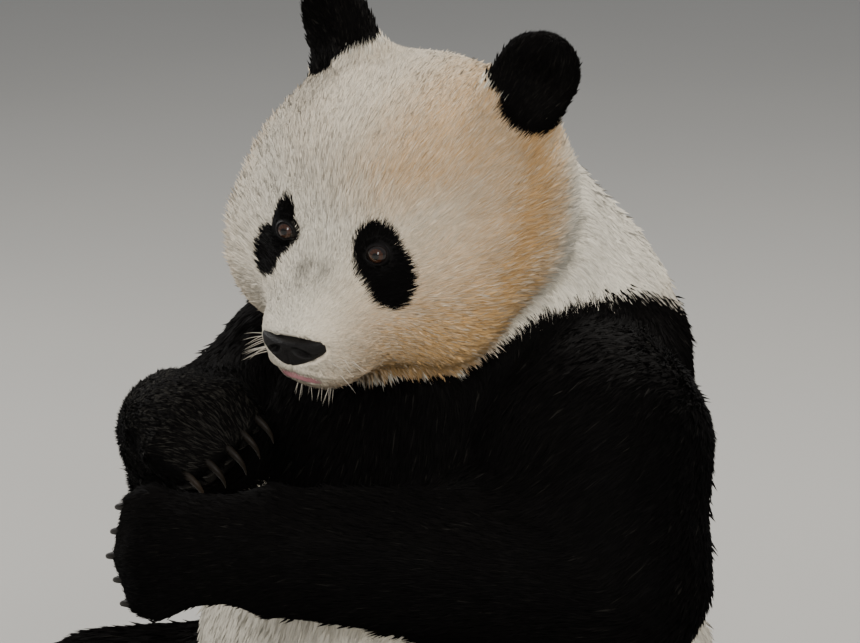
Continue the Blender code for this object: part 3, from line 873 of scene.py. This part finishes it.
def darker_share(h):
    """How much darker the white hair is on spots of the nose's bridge and towards the crown: a share of its
    tone.
    """
    share = DARKER_CROWN * smooth_step(h[:, 2], 0.0, 0.07) * (h[:, 1] < 0.10)
    for x, z, size, dark in BRIDGE_DARK_SPOTS:
        share += dark * np.exp(-((np.hypot(h[:, 0] - x, h[:, 2] - z) / size) ** 2)) * (h[:, 1] < -0.12)
    return share


SKIN_BORDER = 0.003  # half the width of the change from white to black

store(skin.data, "dark", smooth_step(darkened(points, black), -SKIN_BORDER, SKIN_BORDER))
# The warm colour is partly real stain, partly painted backlight.
store(skin.data, "warm", stain_and_backlight(h) * np.isin(part, [PARTS.index("head"), PARTS.index("neck")]))
store(skin.data, "bare", bare)
store(skin.data, "pink", pink)

WHITE_HAIR = (0.78, 0.725, 0.605, 1)
WARM_HAIR = (0.63, 0.385, 0.165, 1)
BLACK_HAIR = (0.0036, 0.0031, 0.0029, 1)
BARE_SKIN = (0.0065, 0.0055, 0.0055, 1)
PINK_LIP = (0.36, 0.165, 0.175, 1)
SKIN_PAINTED_SHADE = 0.92  # painted shade: the skin under the hair is darkened, as in the shadow of the coat


def hair_colour(finish):
    """White or warm hair with the black markings, from what the mesh carries."""
    white = finish.mix(WHITE_HAIR, WARM_HAIR, finish.stored("warm"))
    return finish.mix(white, BLACK_HAIR, finish.stored("dark"))


skin_finish = Finish("panda_skin", Specular_IOR_Level=0.2)
# Painted shade: the hair's colour is darkened on the skin under the coat.
shaded = skin_finish.scaled(hair_colour(skin_finish), SKIN_PAINTED_SHADE)
leather = skin_finish.mix(BARE_SKIN, PINK_LIP, skin_finish.stored("pink"))
skin_finish.drive("Base Color", skin_finish.mix(shaded, leather, skin_finish.stored("bare")))
skin_finish.bump(skin_finish.pebbles(900) * skin_finish.stored("bare"), 0.35, 0.0006)
skin_finish.drive("Roughness", 0.85 - 0.37 * skin_finish.stored("bare"))
skin.data.materials.clear()
skin.data.materials.append(skin_finish.material)
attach(skin, "root")
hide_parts(*flesh)

# ---------------------------------------------------------------- the eyes
# Small dark brown eyes, round and wet. A clear bulge stands over the iris, and the white of the eye
# is brown and hardly shows between the lids.

IRIS_ANGLE = 0.66  # from the middle of the pupil to the iris's edge
PUPIL_ANGLE = 0.27
CORNEA_RISE = 0.0009
IRIS_DARK = (0.016, 0.0055, 0.0025, 1)
IRIS_BRIGHT = (0.050, 0.0165, 0.0064, 1)
IRIS_RIM = (0.006, 0.004, 0.0035, 1)
PUPIL_BLACK = (0.0015, 0.0012, 0.001, 1)
EYE_BROWN = (0.014, 0.0095, 0.008, 1)
WET = {"Coat_Weight": 1.0, "Coat_Roughness": 0.02, "Coat_IOR": 1.5}

eye_finish = Finish("wet_eye", Roughness=0.3, Specular_IOR_Level=0.1, **WET)
angle = eye_finish.stored("angle")
iris = eye_finish.mix(IRIS_DARK, IRIS_BRIGHT, eye_finish.stored("fibre"))
shown = eye_finish.mix(iris, PUPIL_BLACK, angle.ramp(PUPIL_ANGLE + 0.03, PUPIL_ANGLE - 0.03))
shown = eye_finish.mix(shown, IRIS_RIM, angle.ramp(IRIS_ANGLE - 0.12, IRIS_ANGLE))
outside = angle.ramp(IRIS_ANGLE + 0.05, IRIS_ANGLE + 0.25)
eye_finish.drive("Base Color", eye_finish.mix(shown, EYE_BROWN, outside))

for side, name in ((1, "left"), (-1, "right")):
    look = Vector(EYE_WAY[side])
    turn = (head_turn @ look).to_track_quat("Z", "Y").to_matrix().to_4x4()
    bpy.ops.mesh.primitive_uv_sphere_add(segments=64, ring_count=40, radius=EYE_RADIUS)
    eye = bpy.context.object
    eye.name = f"eyeball_{name}"
    spots = points_of(eye.data)
    off = np.arccos(np.clip(spots[:, 2] / EYE_RADIUS, -1, 1))
    bulge = CORNEA_RISE * smooth_step(off, IRIS_ANGLE + 0.12, 0.10)
    around = np.arctan2(spots[:, 1], spots[:, 0])
    streaks = 0.5 + 0.28 * np.sin(around * 31 + 2 * np.sin(around * 7))
    streaks += 0.22 * np.sin(around * 53 + off * 9)
    move_points(eye.data, spots + unit(spots) * bulge[:, None])
    store(eye.data, "angle", off)
    store(eye.data, "fibre", np.clip(streaks, 0, 1))
    eye.data.transform(Matrix.Translation(from_head(EYE_AT[side])) @ turn)
    eye.data.shade_smooth()
    eye.data.materials.append(eye_finish.material)
    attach(eye, "root")
    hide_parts(f"eye_{name}")

# ---------------------------------------------------------------- the nose
# The bare end of the nose is a moist black pad of pebbled leather, broad at the top and pointed below,
# with a comma-shaped nostril at each side and a short groove down to the lip.

NOSE_WIDE = 0.0385
NOSE_TOP = -0.0475
NOSE_FOOT = -0.0768
NOSE_BACK = -0.2055
NOSE_DEEP = 0.0148
NOSE_MIDDLE = (NOSE_TOP + NOSE_FOOT) / 2
NOSE_WINGS_BACK = 0.0095  # how far the sides stand behind the middle, and above it
NOSE_WINGS_UP = 0.0016
NOSTRIL_AT = (0.0150, -0.0590)
NOSTRIL_SIZE = (0.0068, 0.0036)
NOSTRIL_LEAN = 0.45
NOSTRIL_DEEP = 0.0080
NOSTRIL_RIM = 0.0008
NOSE_GROOVE = (0.0014, 0.0013)  # how deep and how wide
NOSE_DARK = (0.0030, 0.0026, 0.0025, 1)
NOSE_PALE = (0.010, 0.0085, 0.008, 1)

bpy.ops.mesh.primitive_uv_sphere_add(segments=144, ring_count=80, radius=1)
nose = bpy.context.object
nose.name = "nose_pad"
x, y, z = points_of(nose.data).T
ring = np.maximum(np.sqrt(1 - np.clip(z, -1, 1) ** 2), 1e-6)
wide, deep = x / ring, y / ring
closing = (1 - np.abs(z) ** 7) ** 0.5
half = NOSE_WIDE * np.clip((z + 1.02) / 1.15, 0, 1) ** 0.62 * closing
across = half * np.sign(wide) * np.abs(wide) ** 0.85
front = NOSE_BACK + NOSE_DEEP * closing * np.sign(deep) * np.abs(deep) ** 0.75 * (0.90 + 0.10 * z)
front += NOSE_WINGS_BACK * (across / NOSE_WIDE) ** 2
height = NOSE_MIDDLE + z * (NOSE_TOP - NOSE_FOOT) / 2
height += NOSE_WINGS_UP * (across / NOSE_WIDE) ** 2 * smooth_step(z, 0, 0.8)
spots = np.stack([across, front, height], 1)
for side in (1, -1):
    aside = spots[:, 0] * side - NOSTRIL_AT[0]
    u = aside / NOSTRIL_SIZE[0]
    v = (spots[:, 2] - NOSTRIL_AT[1] + NOSTRIL_LEAN * aside) / NOSTRIL_SIZE[1]
    facing = spots[:, 1] < NOSE_BACK + 0.002
    pit = np.exp(-((u**2 + v**2) ** 1.3)) * facing
    rim = np.exp(-(((np.hypot(u, v) - 1.45) / 0.42) ** 2)) * facing
    spots[:, 1] += NOSTRIL_DEEP * pit - NOSTRIL_RIM * rim
groove_deep, groove_wide = NOSE_GROOVE
groove = np.exp(-((spots[:, 0] / groove_wide) ** 2)) * smooth_step(spots[:, 2], -0.055, -0.063)
spots[:, 1] += groove_deep * groove * (spots[:, 1] < NOSE_BACK)
level = spots[:, 2] - NOSE_MIDDLE
spots[:, 2] = NOSE_MIDDLE + level * cos(NOSE_ROLL) + spots[:, 0] * sin(NOSE_ROLL)
spots[:, 0] = spots[:, 0] * cos(NOSE_ROLL) - level * sin(NOSE_ROLL) + NOSE_ASIDE
move_points(nose.data, from_head(spots))
nose.data.shade_smooth()
nose_finish = Finish("nose_leather", Specular_IOR_Level=0.22, Coat_Weight=0.02, Coat_Roughness=0.25)
blotch = nose_finish.noise(0.012)
nose_finish.drive("Base Color", nose_finish.mix(NOSE_DARK, NOSE_PALE, blotch))
nose_finish.drive("Roughness", 0.48 + 0.22 * blotch)
nose_finish.bump(nose_finish.pebbles(620), 0.55, 0.0007)
nose.data.materials.append(nose_finish.material)
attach(nose, "root")
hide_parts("nose")

# ---------------------------------------------------------------- the claws
# Five curved horn claws on each paw, dark at the root and paler at the tip, that grow out of the toes. All
# but one have their tips darkened as painted shade.

CLAW_RINGS = 9
CLAW_SIDES = 10
CLAW_WIDE = 0.0046
CLAW_DEEP = 0.0056
CLAW_SUNK = 0.006  # how far its root goes into the toe
SHADED_CLAW_TIP = 0.28  # painted shade: how pale the other claws' tips are, next to that of the one lit claw
LIT_CLAW = "claw_fore_right_1"
HORN_DARK = (0.008, 0.0065, 0.005, 1)
HORN_PALE = (0.050, 0.034, 0.021, 1)

claw_finish = Finish("claw_horn", Roughness=0.5, Specular_IOR_Level=0.25)
streak = claw_finish.noise(0.0015, 4)
horn = claw_finish.mix(HORN_DARK, HORN_PALE, claw_finish.stored("tipward") * (0.6 + 0.5 * streak))
claw_finish.drive("Base Color", horn)
claw_finish.bump(streak, 0.25, 0.0004)


def close_up(bm, rings, tip):
    """Faces over the root, from ring to ring and up to the tip."""
    sides = len(rings[0])
    bm.faces.new(rings[0])
    for low, high in zip(rings, rings[1:]):
        for k in range(sides):
            after = (k + 1) % sides
            bm.faces.new((low[k], low[after], high[after], high[k]))
    for k in range(sides):
        bm.faces.new((rings[-1][k], rings[-1][(k + 1) % sides], tip))


def new_piece(name, mesh):
    """An object of this mesh, at the origin."""
    piece = bpy.data.objects.new(name, mesh)
    bpy.context.collection.objects.link(piece)
    return piece


def finished(bm, name, finish):
    """The object of a mesh whose faces then point outwards."""
    bmesh.ops.recalc_face_normals(bm, faces=bm.faces[:])
    mesh = bpy.data.meshes.new(name)
    bm.to_mesh(mesh)
    bm.free()
    mesh.shade_smooth()
    mesh.materials.append(finish.material)
    return new_piece(name, mesh)


for limb in ("fore", "hind"):
    for side in ("left", "right"):
        bm = bmesh.new()
        layer = bm.verts.layers.float.new("tipward")
        paw = ("forepaw_" if limb == "fore" else "foot_") + side
        across = paw_axes[paw][0]
        names = [f"claw_{limb}_{side}_{i}" for i in range(1, 6)]
        for name in names:
            root, bend, tip = claw_lines[name]
            # Painted shade: every claw but the lit one has its pale tip darkened.
            pale = 1.0 if name == LIT_CLAW else SHADED_CLAW_TIP
            start = root - unit(bend - root) * CLAW_SUNK
            knee = 2 * bend - (start + tip) / 2
            rings = []
            for ring_number in range(CLAW_RINGS):
                share = ring_number / CLAW_RINGS
                spine = (1 - share) ** 2 * start + 2 * share * (1 - share) * knee + share**2 * tip
                heading = unit(2 * (1 - share) * (knee - start) + 2 * share * (tip - knee))
                deep = np.cross(across, heading)
                slim = (1 - share) ** 0.75
                rings.append([])
                for k in range(CLAW_SIDES):
                    turn = 2 * pi * k / CLAW_SIDES
                    aside = across * cos(turn) * CLAW_WIDE * slim
                    vert = bm.verts.new(spine + aside + deep * sin(turn) * CLAW_DEEP * slim)
                    vert[layer] = share * pale
                    rings[-1].append(vert)
            point = bm.verts.new(tip)
            point[layer] = pale
            close_up(bm, rings, point)
        claws = finished(bm, f"claws_{limb}_{side}", claw_finish)
        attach(claws, "root")
        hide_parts(*names)

# ---------------------------------------------------------------- the coat
# Dense short hair all over, in thin tufts that are rooted in the skin, overlap and lie along the body. It is
# finest on the face, and each tuft takes the marking of the place that it covers.

TUFTS_A_PIECE = 46000
PATCH = 0.003  # side of a tuft's patch on the coat's own map

skin.data.calc_loop_triangles()
triangles = read(skin.data.loop_triangles, "vertices", 3, np.int32)
tri_part = part[triangles[:, 0]]
first, second, third = (points[triangles[:, i]] for i in range(3))
tri_area = np.linalg.norm(np.cross(second - first, third - first), axis=1) / 2

# How much finer the coat is: length, width and number at the face and the eyes, and where black meets white.
FINER_FACE = (-0.72, -0.52, 1.9)
FINER_EDGE = (-0.30, -0.40, 0.80)
FACE_FINE, FACE_COARSE = 0.030, 0.150  # from the nose
EYE_FINE, EYE_COARSE = 0.018, 0.060  # from an eye
EDGE_REACH = 0.013

fields = growth[part].copy()
is_head = part == PARTS.index("head")
by_nose = smooth_step(nose_distance(h), FACE_COARSE, FACE_FINE) * is_head
by_eye = smooth_step(from_eye, EYE_COARSE, EYE_FINE) * is_head
face = np.maximum(by_nose, 0.8 * by_eye)
edge = np.exp(-((black / EDGE_REACH) ** 2)) * ~is_head
for share, finer in ((face, FINER_FACE), (edge, FINER_EDGE)):
    for column, change in enumerate(finer, 1):
        fields[:, column] *= 1 + change * share
fields[:, :3] = web.relaxed(fields[:, :3], 5)
fields[:, 0] = web.relaxed(np.where(is_head, coat_depth(h, fields[:, 0]), fields[:, 0]), 3)[:, 0]
fields[:, 3] *= bare < 0.5

# How loose the coat stands: it is sleek on the face and crown, and shaggy on the cheeks and the throat.
LOOSE = {"head": 0.04, "ear": 0.22, "neck": 0.05, "forepaw": 0.12, "foot": 0.12}
LOOSE_BODY = 0.10
loose = np.array([LOOSE.get(stem(name), LOOSE_BODY) for name in PARTS])[part]
ruff = smooth_step(np.abs(h[:, 0]), 0.105, 0.150) * smooth_step(h[:, 2], 0.085, 0.035)
throat = smooth_step(-h[:, 2], 0.105, 0.135) * (h[:, 1] > -0.19)
loose = web.relaxed(np.maximum(loose, np.maximum(ruff, throat) * is_head), 4)[:, 0]

# The pieces of the coat: where each grows, and its slot. The head's coat is parted where its face ends,
# at the height of the ears' roots, and at the back of the brow.
FACE_ENDS = -0.105
CROWN_BEGINS = 0.045
BROW_ENDS = 0.02


def on(*names):
    return np.isin(tri_part, [i for i, name in enumerate(PARTS) if name in names])


def on_limb(side, *stems):
    return on(*(f"{name}_{side}" for name in stems))


ARM = ("upper_arm", "forearm", "forepaw")
LEG = ("thigh", "shank", "foot")
x, y, z = to_head(points[triangles].mean(1)).T
face = on("head") & (y < FACE_ENDS)
top = on("head") & ~face & (z > CROWN_BEGINS)
cheek = on("head") & ~face & ~top
COATS = (
    ("coat_face", face, "white_coat"),
    ("coat_brow", top & (y < BROW_ENDS), "white_coat"),
    ("coat_crown", top & (y >= BROW_ENDS), "white_coat"),
    ("coat_cheek_left", cheek & (x > 0), "white_coat"),
    ("coat_cheek_right", cheek & (x <= 0), "white_coat"),
    ("coat_ears", on("ear_left", "ear_right"), "black_coat"),
    ("coat_neck", on("neck"), "white_coat"),
    ("coat_shoulders", on("shoulders"), "black_coat"),
    ("coat_trunk", on("trunk", "tail"), "white_coat"),
    ("coat_arm_left", on_limb("left", *ARM), "black_coat"),
    ("coat_arm_right", on_limb("right", *ARM), "black_coat"),
    ("coat_leg_left", on_limb("left", *LEG), "black_coat"),
    ("coat_leg_right", on_limb("right", *LEG), "black_coat"),
)

coat_finish = Finish("panda_hair", Roughness=0.65, Specular_IOR_Level=0.05)
toned = coat_finish.scaled(hair_colour(coat_finish), coat_finish.stored("tone"))
coat_finish.drive("Base Color", toned)


def unwrapped(name, chosen):
    """The chosen triangles' corners on an unwrap of the skin's own shape."""
    used, faces = np.unique(triangles[chosen], return_inverse=True)
    mesh = bpy.data.meshes.new(name)
    mesh.from_pydata(points[used].tolist(), [], faces.reshape(-1, 3).tolist())
    sheet = new_piece(name, mesh)
    only(sheet)
    bpy.ops.object.mode_set(mode="EDIT")
    bpy.ops.mesh.select_all(action="SELECT")
    bpy.ops.uv.smart_project(angle_limit=radians(72), island_margin=0.004)
    bpy.ops.object.mode_set(mode="OBJECT")
    found = read(mesh.uv_layers.active.uv, "vector", 2).reshape(-1, 3, 2).astype(float)
    bpy.data.objects.remove(sheet)
    bpy.data.meshes.remove(mesh)
    return found


def grow(name, chosen, rng):
    """Roots spread evenly over the chosen triangles, with what the skin says at each."""
    chosen = np.flatnonzero(chosen)
    wanted = tri_area[chosen] * fields[triangles[chosen], 3].mean(1) * 1
    count = min(int(wanted.sum()), TUFTS_A_PIECE)
    ticks = (np.arange(count) + rng.random(count)) * wanted.sum() / count
    pick = np.searchsorted(np.cumsum(wanted), ticks).clip(0, len(chosen) - 1)
    second, third = rng.random((2, count))
    fold = second + third > 1
    second[fold], third[fold] = 1 - second[fold], 1 - third[fold]
    weights = np.stack([1 - second - third, second, third], 1)
    corners = triangles[chosen[pick]]
    patch = (unwrapped(name + "_sheet", chosen)[pick] * weights[:, :, None]).sum(1)

    def spread(values):
        values = values[corners]
        return (values * (weights[:, :, None] if values.ndim == 3 else weights)).sum(1)

    up = unit(spread(normals))
    flow = laid(spread(way), up)
    return spread(points), up, flow, spread(fields), spread(black), spread(loose), patch


WAVES = 9  # in a ripple

# How the tufts sway from side to side in locks: how far, the size of the locks, and a seed.
SWAYS = ((0.08, 0.070, 11), (0.07, 0.018, 12))
SWAY_EACH = 0.09
LIFT = 0.50  # how high a tuft's tip stands, in depths of coat
LIFT_LOCKS = (0.04, 0.030, 13)
LIFT_LEAST, LIFT_MOST = 0.28, 0.80
STRAY_LIFT = 0.75


def ripple(points, size, seed):
    """Smooth noise between about -1 and 1, with bumps of about this size."""
    rng = np.random.default_rng(seed)
    total = np.zeros(len(points))
    for _ in range(WAVES):
        way = unit(rng.normal(size=3)) * 2 * pi / size * rng.uniform(0.6, 1.4)
        total += np.sin(points @ way + rng.uniform(0, 2 * pi))
    return total / sqrt(WAVES)


def rippled(points, rows):
    """Ripples of several sizes, each with its height, its size and its seed."""
    return sum(height * ripple(points, size, seed) for height, size, seed in rows)


def comb(roots, up, flow, tall, loose, rng):
    """Bends the flow into soft locks and lifts hairs out of the coat, more of them where it is loose."""
    count = len(roots)
    across = np.cross(up, flow)
    sway = rippled(roots, SWAYS) + SWAY_EACH * rng.normal(size=count)
    flow = unit(flow + across * sway[:, None])
    lift = LIFT + rippled(roots, (LIFT_LOCKS,)) + (0.03 + 0.09 * loose) * rng.normal(size=count)
    stray = rng.random(count) < 0.006 + 0.20 * loose
    stray_lift = STRAY_LIFT + (0.30 + 0.75 * loose) * rng.random(count)
    lift = np.where(stray, stray_lift, np.clip(lift, LIFT_LEAST, LIFT_MOST))
    return flow, lift * tall, stray


TUFTS_A_LOCK = 9
LOCK_REACH = 0.006
LOCK_PULL = 0.28


def gather(roots, tips, rng):
    """Draws the tips of neighbouring tufts together into locks."""
    keepers = rng.choice(len(roots), max(len(roots) // TUFTS_A_LOCK, 1), replace=False)
    tree = KDTree(len(keepers))
    for i, keeper in enumerate(keepers):
        tree.insert(roots[keeper], i)
    tree.balance()
    nearest = keepers[[tree.find(root)[1] for root in roots]]
    reach = np.linalg.norm(roots[nearest] - roots, axis=1)
    pull = LOCK_PULL * np.exp(-((reach / LOCK_REACH) ** 2))
    return tips + (tips[nearest] - tips) * pull[:, None]


# A tuft is a slim closed blade with four corners: two at its root, one on its ridge and its tip.
BLADE = np.array((0, 1, 2, 0, 2, 3, 1, 3, 2, 0, 3, 1))
BLADE_PATCH = np.array(((-0.5, -0.5), (0.5, -0.5), (0.0, 0.0), (0.0, 0.5))) * PATCH
RIDGE_AT = 0.42  # where along a tuft its ridge is highest
RIDGE_HIGH = 0.20  # in heights of the tip
THICKNESS = 0.42  # in widths
STRAY_WIDTH = 0.55
STRAY_LENGTH = 0.65
ROOT_SUNK = 0.0010
COAT_GAP = 0.0004  # from the floor

# What differs from piece to piece: the share of brown and grey hairs and how pale they are, which is partly
# real grizzle and partly painted sheen and highlight on the black hair, the tone, painted paler on the neck
# as painted light, and how unevenly the tufts catch the light.
# Pale hairs in the black coat: partly real brown and grey hairs, partly painted sheen and highlight.
GRIZZLE_AND_SHEEN = {"coat_arm_right": 0.40, "coat_ears": 0.15, "coat_shoulders": 0.05}
GRIZZLE_AND_SHEEN_BODY = 0.02
GRIZZLE_AND_SHEEN_TONE = {"coat_arm_right": 0.968}
GRIZZLE_AND_SHEEN_TONE_BODY = 0.985
# Painted light: the neck's white hair is made paler, as where sunlight falls on it.
PAINTED_LIGHT_PALER = {"coat_neck": 1.13}
ROLL = {"coat_face": 0.30, "coat_brow": 0.24, "coat_crown": 0.20}
ROLL_BODY = 0.14
HEAD_COATS = ("coat_face", "coat_brow", "coat_crown", "coat_cheek")
HEAD_RAGGED, BODY_RAGGED = 0.0013, 0.0032  # how ragged the markings' edges are
TUFT_BORDER = 0.0006
SEEN_AT = 0.75  # where along a tuft it is seen, and so takes its marking
TONES = ((0.03, 0.05, 21), (0.04, 0.012, 22))
TONE_EACH = 0.07
WARM_ABOVE = 0.5  # the coat below this height isn't warm


def colour(mesh, name, slot, roots, seen, up, black_here, rng):
    """Gives each tuft the marking, warmth and tone of the place where it is seen."""
    count = len(roots)
    ragged = HEAD_RAGGED if name.startswith(HEAD_COATS) else BODY_RAGGED
    inside = darkened(seen, black_here) + rng.normal(size=count) * ragged
    dark = smooth_step(inside, -TUFT_BORDER, TUFT_BORDER)
    grizzled_and_lit = rng.random(count) < GRIZZLE_AND_SHEEN.get(name, GRIZZLE_AND_SHEEN_BODY)
    # Painted highlight: on the right arm the pale hairs are kept to the upward-facing hair of the lower arm
    # and paw, where the light falls.
    lit_lower_arm = smooth_step(-roots[:, 1], 0.06, 0.16) * smooth_step(up[:, 2], 0.0, 0.4)
    grizzled_and_lit &= (name != "coat_arm_right") | (rng.random(count) < lit_lower_arm)
    grizzle_and_sheen = rng.uniform(GRIZZLE_AND_SHEEN_TONE.get(name, GRIZZLE_AND_SHEEN_TONE_BODY), 0.998, count)
    dark = np.where(grizzled_and_lit & (slot == "black_coat"), dark * grizzle_and_sheen, dark)
    # Warm colour: partly real stain, partly painted backlight.
    warm = stain_and_backlight(to_head(roots)) * (slot == "white_coat") * (roots[:, 2] > WARM_ABOVE)
    warm = np.clip(warm * (1 + 0.25 * rng.normal(size=count)), 0, 1)
    tone = 1 + rippled(roots, TONES) + TONE_EACH * rng.normal(size=count)
    # Painted light: the neck's hair is made paler here.
    tone *= (1 - darker_share(to_head(seen))) * PAINTED_LIGHT_PALER.get(name, 1.0)
    for attribute, values in (("dark", dark), ("warm", warm), ("tone", np.clip(tone, 0.5, 1.35))):
        store(mesh, attribute, np.repeat(values, 4))


def weave(name, chosen, slot, seed):
    """Makes one piece of the coat."""
    rng = np.random.default_rng(seed)
    roots, up, flow, field, black_here, loose_here, patch = grow(name, chosen, rng)
    count = len(roots)
    flow, tall, stray = comb(roots, up, flow, field[:, 0], loose_here, rng)
    across = np.cross(up, flow)
    length = field[:, 1] * np.clip(1 + 0.18 * rng.normal(size=count), 0.55, 1.5)
    width = field[:, 2] * rng.uniform(0.75, 1.2, count) * np.where(stray, STRAY_WIDTH, 1.0)
    tips = roots + flow * (length * np.where(stray, STRAY_LENGTH, 1.0))[:, None] + up * tall[:, None]
    tips = gather(roots, tips, rng)
    half = across * (width / 2)[:, None]
    sunk = roots - up * ROOT_SUNK
    bend = across * (width * rng.normal(size=count) * 0.5)[:, None]
    ridge = roots + (tips - roots) * RIDGE_AT + up * (RIDGE_HIGH * tall + THICKNESS * width)[:, None] + bend
    spots = np.stack([sunk + half, sunk - half, ridge, tips], 1).reshape(-1, 3)
    spots[:, 2] = np.maximum(spots[:, 2], COAT_GAP)
    loops = (np.arange(count)[:, None] * 4 + BLADE).ravel().astype(np.int32)

    mesh = bpy.data.meshes.new(name)
    mesh.vertices.add(len(spots))
    mesh.vertices.foreach_set("co", spots.astype(np.float32).ravel())
    mesh.loops.add(len(loops))
    mesh.loops.foreach_set("vertex_index", loops)
    mesh.polygons.add(len(loops) // 3)
    mesh.polygons.foreach_set("loop_start", np.arange(0, len(loops), 3, dtype=np.int32))
    mesh.update(calc_edges=True)
    mesh.shade_smooth()

    seen = roots + flow * (SEEN_AT * length)[:, None]
    colour(mesh, name, slot, roots, seen, up, black_here, rng)
    patches = (np.clip(patch, PATCH, 1 - PATCH)[:, None] + BLADE_PATCH).reshape(-1, 2)
    mesh.uv_layers.new(name="OFBake").uv.foreach_set("vector", patches[loops].astype(np.float32).ravel())

    wild = ROLL.get(name, ROLL_BODY)
    roll = across * (wild * rng.normal(size=count))[:, None]
    roll += flow * (0.7 * wild * rng.normal(size=count))[:, None]
    shade = unit(up + flow * 0.10 + roll)
    leans = np.stack([shade + across * 0.22, shade - across * 0.22, shade, shade + flow * 0.15], 1)
    mesh.normals_split_custom_set_from_vertices(unit(leans).reshape(-1, 3).tolist())
    mesh.materials.append(coat_finish.material)
    coat = new_piece(name, mesh)
    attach(coat, "root")


for seed, (name, chosen, slot) in enumerate(COATS, 100):
    weave(name, chosen, slot, seed)

# ---------------------------------------------------------------- whiskers and bristles
# Thin pale whiskers stand out of the sides of the muzzle, and short stiff bristles out of the chin.

BRISTLE_SIDES = 5
BRISTLE_RINGS = 7
BRISTLE_COLOUR = (0.62, 0.56, 0.46, 1)
BRISTLE_SUNK = 0.001
BRISTLE_SAG = 0.16  # of its length
BRISTLE_TAPER = 0.85
# Each clump: its middle and its spread in the head's frame, the way its hairs point, how long they are,
# how thick at the root, and how many there are.
CLUMPS = (
    ((0.040, -0.192, -0.074), (0.010, 0.012, 0.009), (0.95, 0.15, -0.25), 0.021, 0.00034, 7),
    ((-0.040, -0.192, -0.074), (0.010, 0.012, 0.009), (-0.90, 0.05, -0.42), 0.030, 0.00042, 14),
    ((0.000, -0.176, -0.112), (0.022, 0.012, 0.006), (0.05, -0.45, -0.90), 0.017, 0.00036, 16),
    ((0.052, -0.120, 0.062), (0.012, 0.006, 0.006), (0.25, -0.80, 0.45), 0.020, 0.00030, 5),
    ((-0.052, -0.120, 0.062), (0.012, 0.006, 0.006), (-0.25, -0.80, 0.45), 0.020, 0.00030, 5),
)

bristle_finish = Finish("whisker_hair", Roughness=0.45, Base_Color=BRISTLE_COLOUR)
skin_tree = BVHTree.FromPolygons(points.tolist(), triangles.tolist())
bm = bmesh.new()
rng = np.random.default_rng(7)
for centre, spread, way_out, long, thick, count in CLUMPS:
    for _ in range(count):
        at = from_head(np.array(centre) + np.array(spread) * rng.uniform(-1, 1, 3))
        root, out, _, _ = skin_tree.find_nearest(Vector(at))
        root, out = np.array(root), np.array(out)
        heading = unit(np.array(way_out) + rng.normal(0, 0.16, 3)) @ np.array(head_turn).T
        heading = unit(heading + out * 0.25)
        reach = long * rng.uniform(0.7, 1.15)
        sag = np.array((0, 0, -1.0)) * reach * BRISTLE_SAG
        side_on = unit(np.cross(heading, (0.13, 0.21, 0.97)))
        over = np.cross(heading, side_on)
        rings = []
        for ring_number in range(BRISTLE_RINGS):
            share = ring_number / BRISTLE_RINGS
            spine = root - out * BRISTLE_SUNK + heading * reach * share + sag * share**2
            slim = thick * (1 - BRISTLE_TAPER * share)
            turns = [2 * pi * k / BRISTLE_SIDES for k in range(BRISTLE_SIDES)]
            rings.append([bm.verts.new(spine + (side_on * cos(t) + over * sin(t)) * slim) for t in turns])
        close_up(bm, rings, bm.verts.new(root + heading * reach + sag))
whiskers = finished(bm, "whiskers", bristle_finish)
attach(whiskers, "root")
